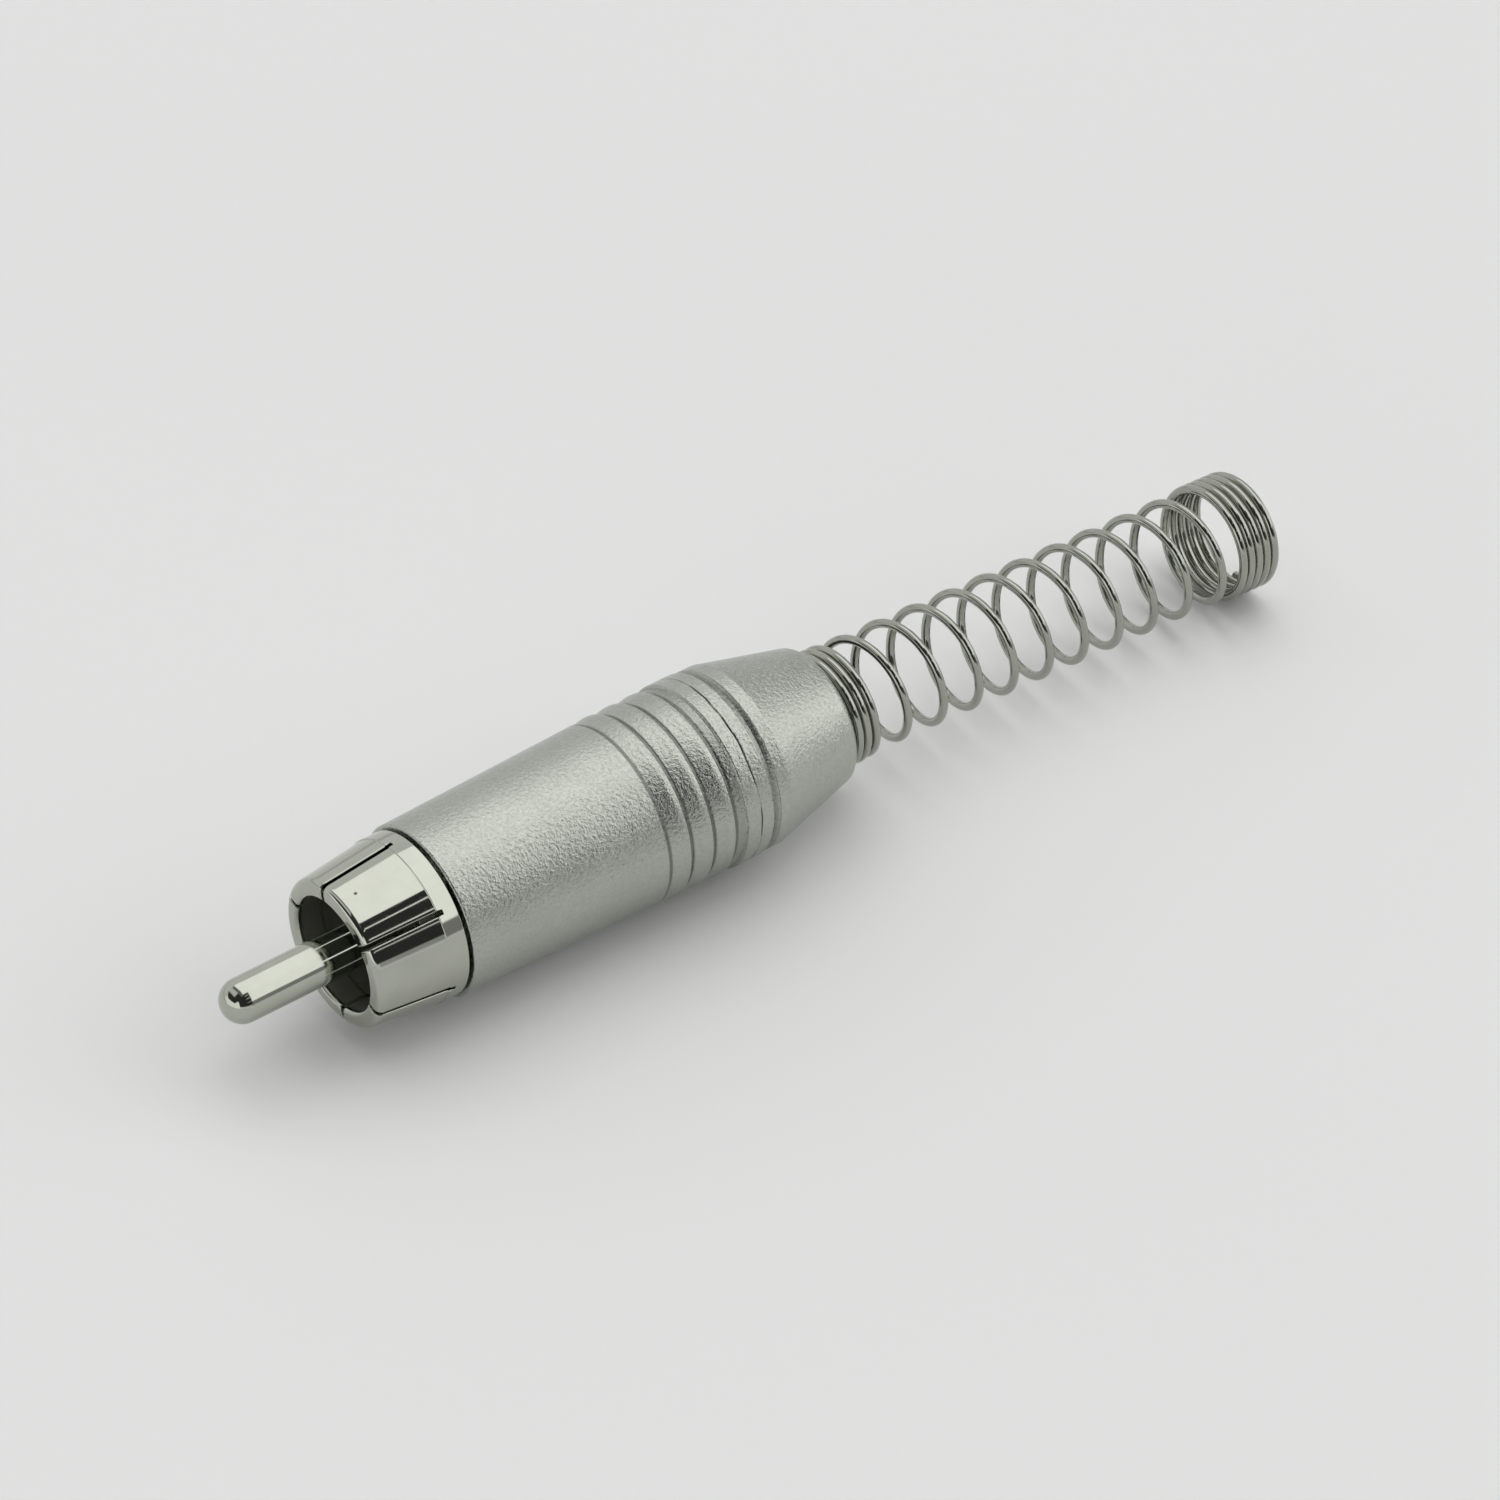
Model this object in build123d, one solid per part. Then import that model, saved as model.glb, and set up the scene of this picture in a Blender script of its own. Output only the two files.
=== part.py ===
from build123d import *
from math import cos, hypot, pi, radians, sin
import os

# Phono plug with a screwed metal shell and a wire spring as its bend relief.
# The plug's axis is X, +X runs back towards the cable and +Z is up.
# The origin is on the axis, in the plane of the ground collar's mouth.

# Signal pin
pin_radius = 1.5875
pin_reach = 8.72
pin_seat_radius = 1.8
pin_seat_length = 1.5
pin_shoulder_radius = 2.3
pin_shoulder_length = 1.3
cup_radius = 1.45
cup_bore_radius = 1.0
cup_length = 4.8
cup_bore_depth = 4.0
cup_cut_length = 2.6
cup_cut_height = 0.145
rivet_bead_radius = 1.95
rivet_bead_length = 0.4

# Ground collar
mouth_radius = 5.35
collar_waist_radius = 5.93
collar_taper_length = 5.4
flange_radius = 6.0
flange_width = 1.48
flange_edge_radius = 0.12
lip_bore_radius = 4.15
lip_length = 2.0
relief_bore_radius = 4.5
relief_bore_setback = 0.15
rim_outer_radius = 0.55
rim_inner_radius = 0.3
slot_count = 6
slot_width = 0.36
slot_length = 5.85
slot_phase = 138.7
neck_radius = 5.0
neck_length = 6.0
neck_bore_radius = 3.3
undercut_depth = 0.35
undercut_width = 0.5
thread_lead = 0.3

# Insulators
insulator_flange_width = 0.8
washer_bore_wall = 0.95
washer_flange_width = 0.5

# Ground lug with its cable clamp
lug_thickness = 0.5
tongue_width = 3.0
tongue_length = 13.2
clamp_length = 4.0
clamp_wall = 0.5
clamp_mouth_angle = 110.0
solder_hole_radius = 0.6
solder_hole_setback = 4.0

# Insulating liner
liner_wall = 0.4
liner_end_gap = 0.3

# Shell
shell_gap = 0.2
shell_front_wall = 1.19
shell_front_edge = 0.2
barrel_length = 15.82
barrel_end_radius = 6.63
ring_count = 3
ring_width = 1.85
ring_radius = 6.73
ring_groove_radius = 6.54
valley_width = 0.85
wide_ring_width = 2.1
wide_ring_radius = 6.78
wide_ring_edge = 0.2
tail_groove_width = 0.7
shoulder_width = 0.95
shoulder_radius = 6.69
cone_length = 6.95
cone_end_radius = 4.99
rear_edge_radius = 0.68
shell_bore_radius = 5.2
shell_neck_length = 3.0
thread_relief_step = 0.6

# Spring
wire_diameter = 0.65
hold_coil_radius = 4.675
neck_coil_radius = 3.975
open_coil_radius = 3.87
end_coil_radius = 4.03
hold_turns = 1.25
inward_turns = 1.0
blend_turns = 0.3
open_turns = 10.03
end_turns = 4.65
closed_pitch = 0.7
open_pitch = 3.11
root_exposed = 2.17
root_phase = 168.2
droop_angle = 4.0
droop_length = 3.0
steps_per_turn = 12
wire_sides = 8

# Clearances between pieces
fit_clearance = 0.03
thread_clearance = 0.05
sliding_gap = 0.3
coil_clearance = 0.12
hold_clearance = 0.05
lug_clearance = 0.7

# How far a cutting body reaches past what it cuts
cut_overrun = 1.0

# Places along the axis, worked out from the sizes above
flange_rear = collar_taper_length + flange_width
neck_end = flange_rear + neck_length
insulator_step = flange_rear - relief_bore_setback
insulator_front = insulator_step - insulator_flange_width
lug_rear = neck_end + lug_thickness
washer_rear = lug_rear + washer_flange_width
cup_end = washer_rear + cup_length
shell_front = flange_rear + shell_gap
barrel_end = shell_front + barrel_length
rings_end = barrel_end + ring_count * ring_width
wide_ring_front = rings_end + valley_width
wide_ring_rear = wide_ring_front + wide_ring_width
shoulder_front = wide_ring_rear + tail_groove_width
shoulder_rear = shoulder_front + shoulder_width
shell_rear = shoulder_rear + cone_length
neck_shoulder = shell_rear - shell_neck_length
shell_neck_bore = neck_coil_radius + wire_diameter / 2 + coil_clearance
washer_bore = cup_radius + fit_clearance
washer_radius = washer_bore + washer_bore_wall
lug_hole_radius = washer_radius + fit_clearance
liner_radius = shell_bore_radius - sliding_gap
lug_disc_radius = liner_radius - liner_wall - lug_clearance
washer_flange_radius = lug_disc_radius - lug_thickness - fit_clearance
shell_thread_radius = neck_radius + thread_clearance
shell_front_radius = shell_thread_radius + shell_front_wall
hold_rear = neck_shoulder - hold_clearance - wire_diameter / 2
hold_front = hold_rear - hold_turns * closed_pitch
liner_rear = hold_front - wire_diameter / 2 - liner_end_gap
root_end = shell_rear + root_exposed
neck_turns = (root_end - hold_rear) / closed_pitch
blend_pitch = (closed_pitch + open_pitch) / 2


def turned(profile: Sketch) -> Part:
    """A body of revolution about the plug's axis, from a half section drawn in X and Y."""
    return revolve(profile, axis=Axis.X)


def turned_steps(steps: list) -> Part:
    """A stepped turned body: each step is its front and rear place and its inner and outer radius."""
    profile = Sketch()
    for front, rear, inner, outer in steps:
        profile += Rectangle(rear - front, outer - inner, align=Align.MIN).moved(
            Location((front, inner))
        )
    return turned(profile)


def center_pin() -> Part:
    """The signal pin: round nose, plain shaft, seat and shoulder in the insulator, solder cup."""
    nose_centre = pin_radius - pin_reach
    seat_end = insulator_front + pin_seat_length
    shoulder_end = seat_end + pin_shoulder_length
    with BuildSketch() as section:
        with BuildLine():
            nose = CenterArc((nose_centre, 0), pin_radius, 90, 90)
            Polyline(
                nose @ 0,
                (insulator_front, pin_radius),
                (insulator_front, pin_seat_radius),
                (seat_end, pin_seat_radius),
                (seat_end, pin_shoulder_radius),
                (shoulder_end, pin_shoulder_radius),
                (shoulder_end, cup_radius),
                (washer_rear, cup_radius),
                (washer_rear, rivet_bead_radius),
                (washer_rear + rivet_bead_length, rivet_bead_radius),
                (washer_rear + rivet_bead_length, cup_radius),
                (cup_end, cup_radius),
                (cup_end, 0),
                nose @ 1,
            )
        make_face()
    pin = turned(section.sketch)
    bore = turned_steps([(cup_end - cup_bore_depth, cup_end + cut_overrun, 0, cup_bore_radius)])
    open_side = Box(
        cup_cut_length + cut_overrun,
        2 * cup_radius + cut_overrun,
        cup_radius + cut_overrun,
        align=(Align.MIN, Align.CENTER, Align.MIN),
    )
    return pin - bore - open_side.moved(Location((cup_end - cup_cut_length, 0, cup_cut_height)))


def insulator() -> Part:
    """The moulded insulator: a thin flange under the collar's flange and a sleeve through its neck."""
    seat_end = insulator_front + pin_seat_length
    shoulder_end = seat_end + pin_shoulder_length
    body = turned_steps(
        [
            (insulator_front, insulator_step, 0, relief_bore_radius - fit_clearance),
            (insulator_step, neck_end, 0, neck_bore_radius - fit_clearance),
        ]
    )
    cavity = turned_steps(
        [
            (insulator_front - cut_overrun, seat_end - fit_clearance, 0, pin_seat_radius + fit_clearance),
            (seat_end - fit_clearance, shoulder_end + fit_clearance, 0, pin_shoulder_radius + fit_clearance),
            (shoulder_end + fit_clearance, neck_end + cut_overrun, 0, cup_radius + fit_clearance),
        ]
    )
    return body - cavity


def collar_slots() -> Part:
    """The saw slots that split the collar's front into springy petals."""
    slot = Part()
    depth = mouth_radius + flange_radius
    blade = Box(slot_length + cut_overrun, depth, slot_width, align=(Align.MIN, Align.MIN, Align.CENTER))
    for index in range(slot_count):
        angle = slot_phase + index * 360 / slot_count
        slot += Rot(angle, 0, 0) * blade.moved(Location((-cut_overrun, 0, 0)))
    return slot


def ground_collar() -> Part:
    """The tapered, slotted ground collar with its flange and its threaded neck, the thread left plain."""
    undercut_radius = neck_radius - undercut_depth
    with BuildSketch() as section:
        with BuildLine():
            Polyline(
                (0, lip_bore_radius),
                (0, mouth_radius),
                (collar_taper_length, collar_waist_radius),
                (collar_taper_length, flange_radius),
                (flange_rear, flange_radius),
                (flange_rear, undercut_radius),
                (flange_rear + undercut_width, undercut_radius),
                (flange_rear + undercut_width, neck_radius),
                (neck_end - thread_lead, neck_radius),
                (neck_end, neck_radius - thread_lead),
                (neck_end, neck_bore_radius),
                (insulator_step, neck_bore_radius),
                (insulator_step, relief_bore_radius),
                (lip_length + relief_bore_radius - lip_bore_radius, relief_bore_radius),
                (lip_length, lip_bore_radius),
                close=True,
            )
        make_face()
        outer_rim = section.vertices().sort_by_distance((0, mouth_radius))[0]
        fillet(outer_rim, rim_outer_radius)
        inner_rim = section.vertices().sort_by_distance((0, lip_bore_radius))[0]
        fillet(inner_rim, rim_inner_radius)
        flange_edge = section.vertices().sort_by_distance((flange_rear, flange_radius))[0]
        fillet(flange_edge, flange_edge_radius)
    return turned(section.sketch) - collar_slots()


def rear_washer() -> Part:
    """The insulating shoulder washer that keeps the ground lug off the pin."""
    return turned_steps(
        [
            (neck_end, lug_rear, washer_bore, washer_radius),
            (lug_rear, washer_rear, washer_bore, washer_flange_radius),
        ]
    )


def ground_lug() -> Part:
    """The ground lug: a disc on the neck's end, a tongue along the liner and an open clamp for the cable."""
    disc = turned_steps([(neck_end, lug_rear, lug_hole_radius, lug_disc_radius)])
    tongue = Box(
        tongue_length, tongue_width, lug_thickness, align=(Align.MIN, Align.CENTER, Align.MIN)
    ).moved(Location((neck_end, 0, -lug_disc_radius)))
    clamp_front = neck_end + tongue_length - clamp_length
    clamp = turned_steps(
        [(clamp_front, clamp_front + clamp_length, lug_disc_radius - clamp_wall, lug_disc_radius)]
    )
    mouth_half = clamp_mouth_angle / 2
    reach = 2 * lug_disc_radius
    with BuildSketch(Plane.YZ.offset(clamp_front - cut_overrun)) as mouth:
        with BuildLine():
            Polyline(
                (0, 0),
                (reach * sin(radians(mouth_half)), reach * cos(radians(mouth_half))),
                (0, 2 * reach),
                (-reach * sin(radians(mouth_half)), reach * cos(radians(mouth_half))),
                close=True,
            )
        make_face()
    opening = extrude(mouth.sketch, clamp_length + 2 * cut_overrun)
    swept_clear = turned_steps([(lug_rear, cup_end + tongue_length, 0, lug_disc_radius - clamp_wall)])
    trimmed_tongue = tongue & turned_steps([(neck_end, neck_end + tongue_length, 0, lug_disc_radius)])
    drill = Cylinder(solder_hole_radius, lug_disc_radius, align=(Align.CENTER, Align.CENTER, Align.MAX))
    solder_hole = drill.moved(Location((lug_rear + solder_hole_setback, 0, 0)))
    return disc + (trimmed_tongue + (clamp - opening) - swept_clear - solder_hole)


def liner() -> Part:
    """The insulating tube between the solder joints and the shell."""
    return turned_steps(
        [(neck_end + liner_end_gap, liner_rear, liner_radius - liner_wall, liner_radius)]
    )


def shell_outline() -> Sketch:
    """The shell's half section: barrel, rings, groove, shoulder and cone, then the bores."""
    thread_rear = neck_end + thread_relief_step
    groove_depth = ring_radius - ring_groove_radius
    with BuildSketch() as section:
        with BuildLine():
            Line((shell_front, shell_thread_radius), (shell_front, shell_front_radius))
            Line((shell_front, shell_front_radius), (barrel_end, barrel_end_radius))
            Line((barrel_end, barrel_end_radius), (barrel_end, ring_groove_radius))
            for index in range(ring_count):
                front = barrel_end + index * ring_width
                ThreePointArc(
                    (front, ring_groove_radius),
                    (front + ring_width / 2, ring_radius),
                    (front + ring_width, ring_groove_radius),
                )
            Polyline(
                (rings_end, ring_groove_radius),
                (wide_ring_front - groove_depth, ring_groove_radius),
                (wide_ring_front, wide_ring_radius - wide_ring_edge),
            )
            RadiusArc(
                (wide_ring_front, wide_ring_radius - wide_ring_edge),
                (wide_ring_front + wide_ring_edge, wide_ring_radius),
                wide_ring_edge,
            )
            Line(
                (wide_ring_front + wide_ring_edge, wide_ring_radius),
                (wide_ring_rear - wide_ring_edge, wide_ring_radius),
            )
            RadiusArc(
                (wide_ring_rear - wide_ring_edge, wide_ring_radius),
                (wide_ring_rear, wide_ring_radius - wide_ring_edge),
                wide_ring_edge,
            )
            Polyline(
                (wide_ring_rear, wide_ring_radius - wide_ring_edge),
                (wide_ring_rear, ring_groove_radius),
                (shoulder_front - groove_depth, ring_groove_radius),
                (shoulder_front, shoulder_radius),
                (shoulder_rear, shoulder_radius),
                (shell_rear, cone_end_radius),
                (shell_rear, shell_neck_bore),
                (neck_shoulder, shell_neck_bore),
                (neck_shoulder, shell_bore_radius),
                (thread_rear, shell_bore_radius),
                (thread_rear, shell_thread_radius),
                (shell_front, shell_thread_radius),
            )
        make_face()
        front_edge = section.vertices().sort_by_distance((shell_front, shell_front_radius))[0]
        fillet(front_edge, shell_front_edge)
        rear_edge = section.vertices().sort_by_distance((shell_rear, cone_end_radius))[0]
        fillet(rear_edge, rear_edge_radius)
    return section.sketch


def shell() -> Part:
    """The turned shell, with its thread left plain."""
    return turned(shell_outline())


def coil_axis(along: float) -> tuple:
    """The spring's centre line, and the tilt there: straight in the shell, then drooping a little."""
    droop = radians(droop_angle)
    if along <= root_end:
        return along, 0.0, 0.0
    bend_radius = droop_length / droop
    if along <= root_end + droop_length:
        tilt = (along - root_end) / bend_radius
        return root_end + bend_radius * sin(tilt), -bend_radius * (1 - cos(tilt)), tilt
    run = along - root_end - droop_length
    corner_x = root_end + bend_radius * sin(droop)
    corner_z = -bend_radius * (1 - cos(droop))
    return corner_x + run * cos(droop), corner_z - run * sin(droop), droop


def coil_point(along: float, radius: float, angle: float) -> Vector:
    """A point on the wire's own centre line."""
    centre_x, centre_z, tilt = coil_axis(along)
    across = radius * cos(radians(angle))
    height = radius * sin(radians(angle))
    return Vector(centre_x + height * sin(tilt), across, centre_z + height * cos(tilt))


def coil_stages() -> list:
    """The wire's stages in order: turns, pitch, and coil radius at the start and the end."""
    return [
        (hold_turns, closed_pitch, hold_coil_radius, hold_coil_radius),
        (inward_turns, 0.0, hold_coil_radius, neck_coil_radius),
        (neck_turns, closed_pitch, neck_coil_radius, neck_coil_radius),
        (blend_turns, blend_pitch, neck_coil_radius, open_coil_radius),
        (open_turns, open_pitch, open_coil_radius, open_coil_radius),
        (blend_turns, blend_pitch, open_coil_radius, end_coil_radius),
        (end_turns, closed_pitch, end_coil_radius, end_coil_radius),
    ]


def coil_path() -> list:
    """Points along the whole wire, evenly spaced in angle within each stage."""
    angle = root_phase - (hold_turns + inward_turns + neck_turns) * 360
    along = hold_front
    path = []
    for turns, pitch, first_radius, last_radius in coil_stages():
        steps = max(2, round(turns * steps_per_turn))
        for step in range(steps):
            share = step / steps
            radius = first_radius + (last_radius - first_radius) * share
            path.append(coil_point(along + share * turns * pitch, radius, angle + share * turns * 360))
        along += turns * pitch
        angle += turns * 360
    path.append(coil_point(along, end_coil_radius, angle))
    return path


def wire_section(before: Vector, here: Vector, after: Vector) -> Wire:
    """The wire's section at one point of its path, square to the path."""
    forward = (after - before).normalized()
    outward = Vector(0, here.Y, here.Z)
    plane = Plane(origin=here, x_dir=outward - forward * outward.dot(forward), z_dir=forward)
    corners = []
    for side in range(wire_sides):
        angle = 2 * pi * side / wire_sides
        offset = Vector(cos(angle), sin(angle), 0) * (wire_diameter / 2)
        corners.append(plane.from_local_coords(offset))
    return Wire.make_polygon(corners, close=True)


def spring() -> Solid:
    """The bend relief: one wire, wound wide inside the shell, closed through its neck, open, closed again."""
    path = coil_path()
    sections = []
    for index, here in enumerate(path):
        before = path[max(index - 1, 0)]
        after = path[min(index + 1, len(path) - 1)]
        sections.append(wire_section(before, here, after))
    return Solid.make_loft(sections, ruled=True)


def main() -> None:
    """Write one file for each piece of the plug."""
    os.makedirs("parts", exist_ok=True)
    pieces = {
        "center_pin": center_pin(),
        "insulator": insulator(),
        "ground_collar": ground_collar(),
        "rear_washer": rear_washer(),
        "ground_lug": ground_lug(),
        "liner": liner(),
        "shell": shell(),
        "spring": spring(),
    }
    for name, piece in pieces.items():
        export_step(piece, f"parts/{name}.step")


main()
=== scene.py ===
"""A phono plug with a screwed metal shell and a wire spring: the looks of each of its pieces.

The plug's axis is X, +X runs back to the cable and +Z is up. Sizes here are in millimetres, as on a
drawing of the plug, and meshes are made in metres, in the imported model's own frame.
"""

import logging
from collections.abc import Callable
from dataclasses import dataclass, field
from enum import Enum
from math import asin, atan2, cos, hypot, pi, radians, sin, sqrt, tan, tau

import bmesh
import bpy
from mathutils import Matrix, Vector, noise


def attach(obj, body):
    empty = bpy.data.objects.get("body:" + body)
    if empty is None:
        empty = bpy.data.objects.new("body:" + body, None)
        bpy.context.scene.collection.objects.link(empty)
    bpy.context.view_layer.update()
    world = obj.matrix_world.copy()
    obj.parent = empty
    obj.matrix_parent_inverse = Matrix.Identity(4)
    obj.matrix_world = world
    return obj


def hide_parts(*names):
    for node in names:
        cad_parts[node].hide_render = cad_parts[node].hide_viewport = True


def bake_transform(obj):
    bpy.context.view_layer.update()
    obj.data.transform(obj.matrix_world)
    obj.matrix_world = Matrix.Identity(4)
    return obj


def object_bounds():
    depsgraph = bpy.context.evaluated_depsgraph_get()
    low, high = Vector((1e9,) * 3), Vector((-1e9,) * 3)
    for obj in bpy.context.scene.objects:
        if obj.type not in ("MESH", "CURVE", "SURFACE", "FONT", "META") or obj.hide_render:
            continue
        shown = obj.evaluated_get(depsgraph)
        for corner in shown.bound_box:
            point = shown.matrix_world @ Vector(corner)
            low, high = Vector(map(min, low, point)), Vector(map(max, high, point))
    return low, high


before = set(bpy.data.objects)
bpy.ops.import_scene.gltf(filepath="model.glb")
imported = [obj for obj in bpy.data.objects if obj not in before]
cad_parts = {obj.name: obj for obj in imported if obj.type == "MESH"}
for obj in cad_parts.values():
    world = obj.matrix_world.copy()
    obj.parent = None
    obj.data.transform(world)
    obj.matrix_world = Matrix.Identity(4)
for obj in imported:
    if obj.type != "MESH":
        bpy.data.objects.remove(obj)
cad_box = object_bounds()

log = logging.getLogger("phono_plug")

MM = 0.001
CREASE = 32.0

Point = tuple[float, float]
Colour = tuple[float, float, float]
Shape = Callable[[float, float, float], float]
Piece = bpy.types.Object
Socket = bpy.types.NodeSocket


def smooth_step(value: float, low: float, high: float) -> float:
    """Blend from 0 at low to 1 at high, level at both ends.

    Args:
        value: Where to read the blend.
        low: Where it is still 0.
        high: Where it has reached 1.

    Returns:
        The share from 0 to 1.
    """
    share = min(max((value - low) / (high - low), 0.0), 1.0)
    return share * share * (3 - 2 * share)


@dataclass
class Outline:
    """A half section through a turned piece, as corners along the axis that may be rounded.

    Attributes:
        corners: Each corner's place on the axis, its radius, and the radius of its rounding.
        arc_steps: How many steps a rounding has.
        guard: How far from each end of a straight stretch an extra row lies, to keep it flat.
    """

    corners: list[tuple[float, float, float]] = field(default_factory=list)
    arc_steps: int = 6
    guard: float = 0.04

    def to(self, place: float, radius: float, rounding: float = 0.0) -> "Outline":
        """Add a corner and return the outline, so that calls can follow each other."""
        self.corners.append((place, radius, rounding))
        return self

    def arc(self, start: Point, middle: Point, end: Point, steps: int) -> "Outline":
        """Add an arc through three points.

        Args:
            start: Its first point.
            middle: A point that it passes through.
            end: Its last point.
            steps: How many straight steps it has.

        Returns:
            The outline itself.
        """
        (ax, ay), (bx, by), (cx, cy) = start, middle, end
        twice = 2 * (ax * (by - cy) + bx * (cy - ay) + cx * (ay - by))
        squares = ax * ax + ay * ay, bx * bx + by * by, cx * cx + cy * cy
        ox = (squares[0] * (by - cy) + squares[1] * (cy - ay) + squares[2] * (ay - by)) / twice
        oy = (squares[0] * (cx - bx) + squares[1] * (ax - cx) + squares[2] * (bx - ax)) / twice
        radius = hypot(ax - ox, ay - oy)
        first = atan2(ay - oy, ax - ox)
        through = (atan2(by - oy, bx - ox) - first) % tau
        sweep = (atan2(cy - oy, cx - ox) - first) % tau
        if through > sweep:
            sweep -= tau
        for step in range(steps + 1):
            angle = first + sweep * step / steps
            self.to(ox + radius * cos(angle), oy + radius * sin(angle))
        return self

    def points(self) -> list[Point]:
        """The closed outline, with roundings worked out and guard rows added.

        Returns:
            Its points.
        """
        rounded: list[Point] = []
        count = len(self.corners)
        for index, (x, y, rounding) in enumerate(self.corners):
            if rounding <= 0:
                rounded.append((x, y))
                continue
            before = Vector(self.corners[index - 1][:2]) - Vector((x, y))
            after = Vector(self.corners[(index + 1) % count][:2]) - Vector((x, y))
            u, v = before.normalized(), after.normalized()
            half = u.angle(v) / 2
            centre = Vector((x, y)) + (u + v).normalized() * (rounding / sin(half))
            first = Vector((x, y)) + u * (rounding / tan(half)) - centre
            last = Vector((x, y)) + v * (rounding / tan(half)) - centre
            start = atan2(first.y, first.x)
            sweep = (atan2(last.y, last.x) - start + pi) % tau - pi
            for step in range(self.arc_steps + 1):
                angle = start + sweep * step / self.arc_steps
                rounded.append((centre.x + rounding * cos(angle), centre.y + rounding * sin(angle)))
        return self._guarded(rounded)

    def _guarded(self, points: list[Point]) -> list[Point]:
        """Add a row near each end of every long straight stretch.

        Args:
            points: The outline.

        Returns:
            The outline with the added rows.
        """
        result: list[Point] = []
        for index, point in enumerate(points):
            following = points[(index + 1) % len(points)]
            result.append(point)
            run = Vector(following) - Vector(point)
            if run.length > 4 * self.guard and max(point[1], following[1]) > 0:
                step = run.normalized() * self.guard
                result.append((point[0] + step.x, point[1] + step.y))
                result.append((following[0] - step.x, following[1] - step.y))
        return result


@dataclass(frozen=True)
class Thread:
    """A right-handed thread on a turned surface.

    Attributes:
        start: Where it begins on the axis.
        end: Where it ends.
        pitch: How far one turn moves along the axis.
        depth: How deep its groove is.
        crest: The share of the pitch that stays uncut.
        lead_in: Over what length the groove grows at the start.
        lead_out: Over what length it fades at the end.
        floor: The share of the pitch, like crest, at which the groove is at its deepest.
    """

    start: float
    end: float
    pitch: float
    depth: float
    crest: float
    lead_in: float
    lead_out: float
    floor: float = 0.92

    def cut(self, place: float, angle: float) -> float:
        """How deep the surface is cut at one point.

        Args:
            place: Its place on the axis.
            angle: Its angle around the axis, in radians.

        Returns:
            The depth.
        """
        if not self.start <= place <= self.end:
            return 0.0
        wave = abs(2 * ((place / self.pitch - angle / tau) % 1.0) - 1)
        groove = smooth_step(wave, self.crest, self.floor)
        entry = smooth_step(place, self.start, self.start + self.lead_in) if self.lead_in else 1.0
        leave = 1 - smooth_step(place, self.end - self.lead_out, self.end) if self.lead_out else 1.0
        return self.depth * groove * entry * leave

    def rows(self, radius: float, steps: int = 12) -> list[Point]:
        """Close rows along the threaded stretch, from its start to its end.

        Args:
            radius: The uncut surface's radius.
            steps: How many rows there are in one pitch.

        Returns:
            The rows' points.
        """
        count = round((self.end - self.start) / self.pitch * steps)
        return [(self.start + (self.end - self.start) * i / count, radius) for i in range(count + 1)]


class MeshWork:
    """Ways to make a mesh object and set its shading."""

    @staticmethod
    def made(name: str, verts: list[Vector], faces: list[tuple[int, ...]], crease: float = CREASE) -> Piece:
        """Make a smooth-shaded object from points in millimetres.

        Args:
            name: The piece's name.
            verts: Its points, in millimetres.
            faces: Its faces.
            crease: Edges that turn by more degrees than this are drawn sharp.

        Returns:
            The new object, linked to the scene.
        """
        mesh = bpy.data.meshes.new(name)
        mesh.from_pydata([v * MM for v in verts], [], faces)
        work = bmesh.new()
        work.from_mesh(mesh)
        bmesh.ops.recalc_face_normals(work, faces=work.faces)
        work.to_mesh(mesh)
        work.free()
        mesh.shade_smooth()
        mesh.set_sharp_from_angle(angle=radians(crease))
        piece = bpy.data.objects.new(name, mesh)
        bpy.context.scene.collection.objects.link(piece)
        return piece

    @staticmethod
    def turned(
        name: str, points: list[Point], columns: int, shape: Shape | None = None, crease: float = CREASE
    ) -> Piece:
        """Turn a closed outline about the axis.

        Args:
            name: The piece's name.
            points: The outline, as places on the axis and radii.
            columns: How many faces go around.
            shape: A function of place, radius and angle that gives the radius there, or None.
            crease: Edges that turn by more degrees than this are drawn sharp.

        Returns:
            The new object.
        """
        verts: list[Vector] = []
        rings: list[list[int]] = []
        for place, radius in points:
            if radius < 1e-6:
                rings.append([len(verts)] * columns)
                verts.append(Vector((place, 0, 0)))
                continue
            rings.append(list(range(len(verts), len(verts) + columns)))
            for column in range(columns):
                angle = tau * column / columns
                reach = shape(place, radius, angle) if shape else radius
                verts.append(Vector((place, reach * cos(angle), reach * sin(angle))))
        faces: list[tuple[int, ...]] = []
        for index, ring in enumerate(rings):
            following = rings[(index + 1) % len(rings)]
            if ring[0] == ring[1] and following[0] == following[1]:
                continue
            for column in range(columns):
                beside = (column + 1) % columns
                corners = (ring[column], ring[beside], following[beside], following[column])
                faces.append(tuple(dict.fromkeys(corners)))
        return MeshWork.made(name, verts, faces, crease)

    @staticmethod
    def cut_by(piece: Piece, cutter: Piece) -> None:
        """Take one solid's space out of another, and remove the cutter.

        Args:
            piece: The solid that is cut.
            cutter: The solid that cuts it.
        """
        modifier = piece.modifiers.new("cut", "BOOLEAN")
        modifier.operation = "DIFFERENCE"
        modifier.solver = "EXACT"
        modifier.object = cutter
        graph = bpy.context.evaluated_depsgraph_get()
        mesh = bpy.data.meshes.new_from_object(piece.evaluated_get(graph))
        piece.modifiers.clear()
        piece.data = mesh
        mesh.shade_smooth()
        mesh.set_sharp_from_angle(angle=radians(CREASE))
        bpy.data.objects.remove(cutter)


@dataclass(frozen=True)
class Grain:
    """A noise pattern.

    Attributes:
        scale: How many of its waves fit in one unit of length.
        detail: How many finer layers it has.
        rough: How strong the finer layers are.
    """

    scale: float
    detail: float
    rough: float


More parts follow.
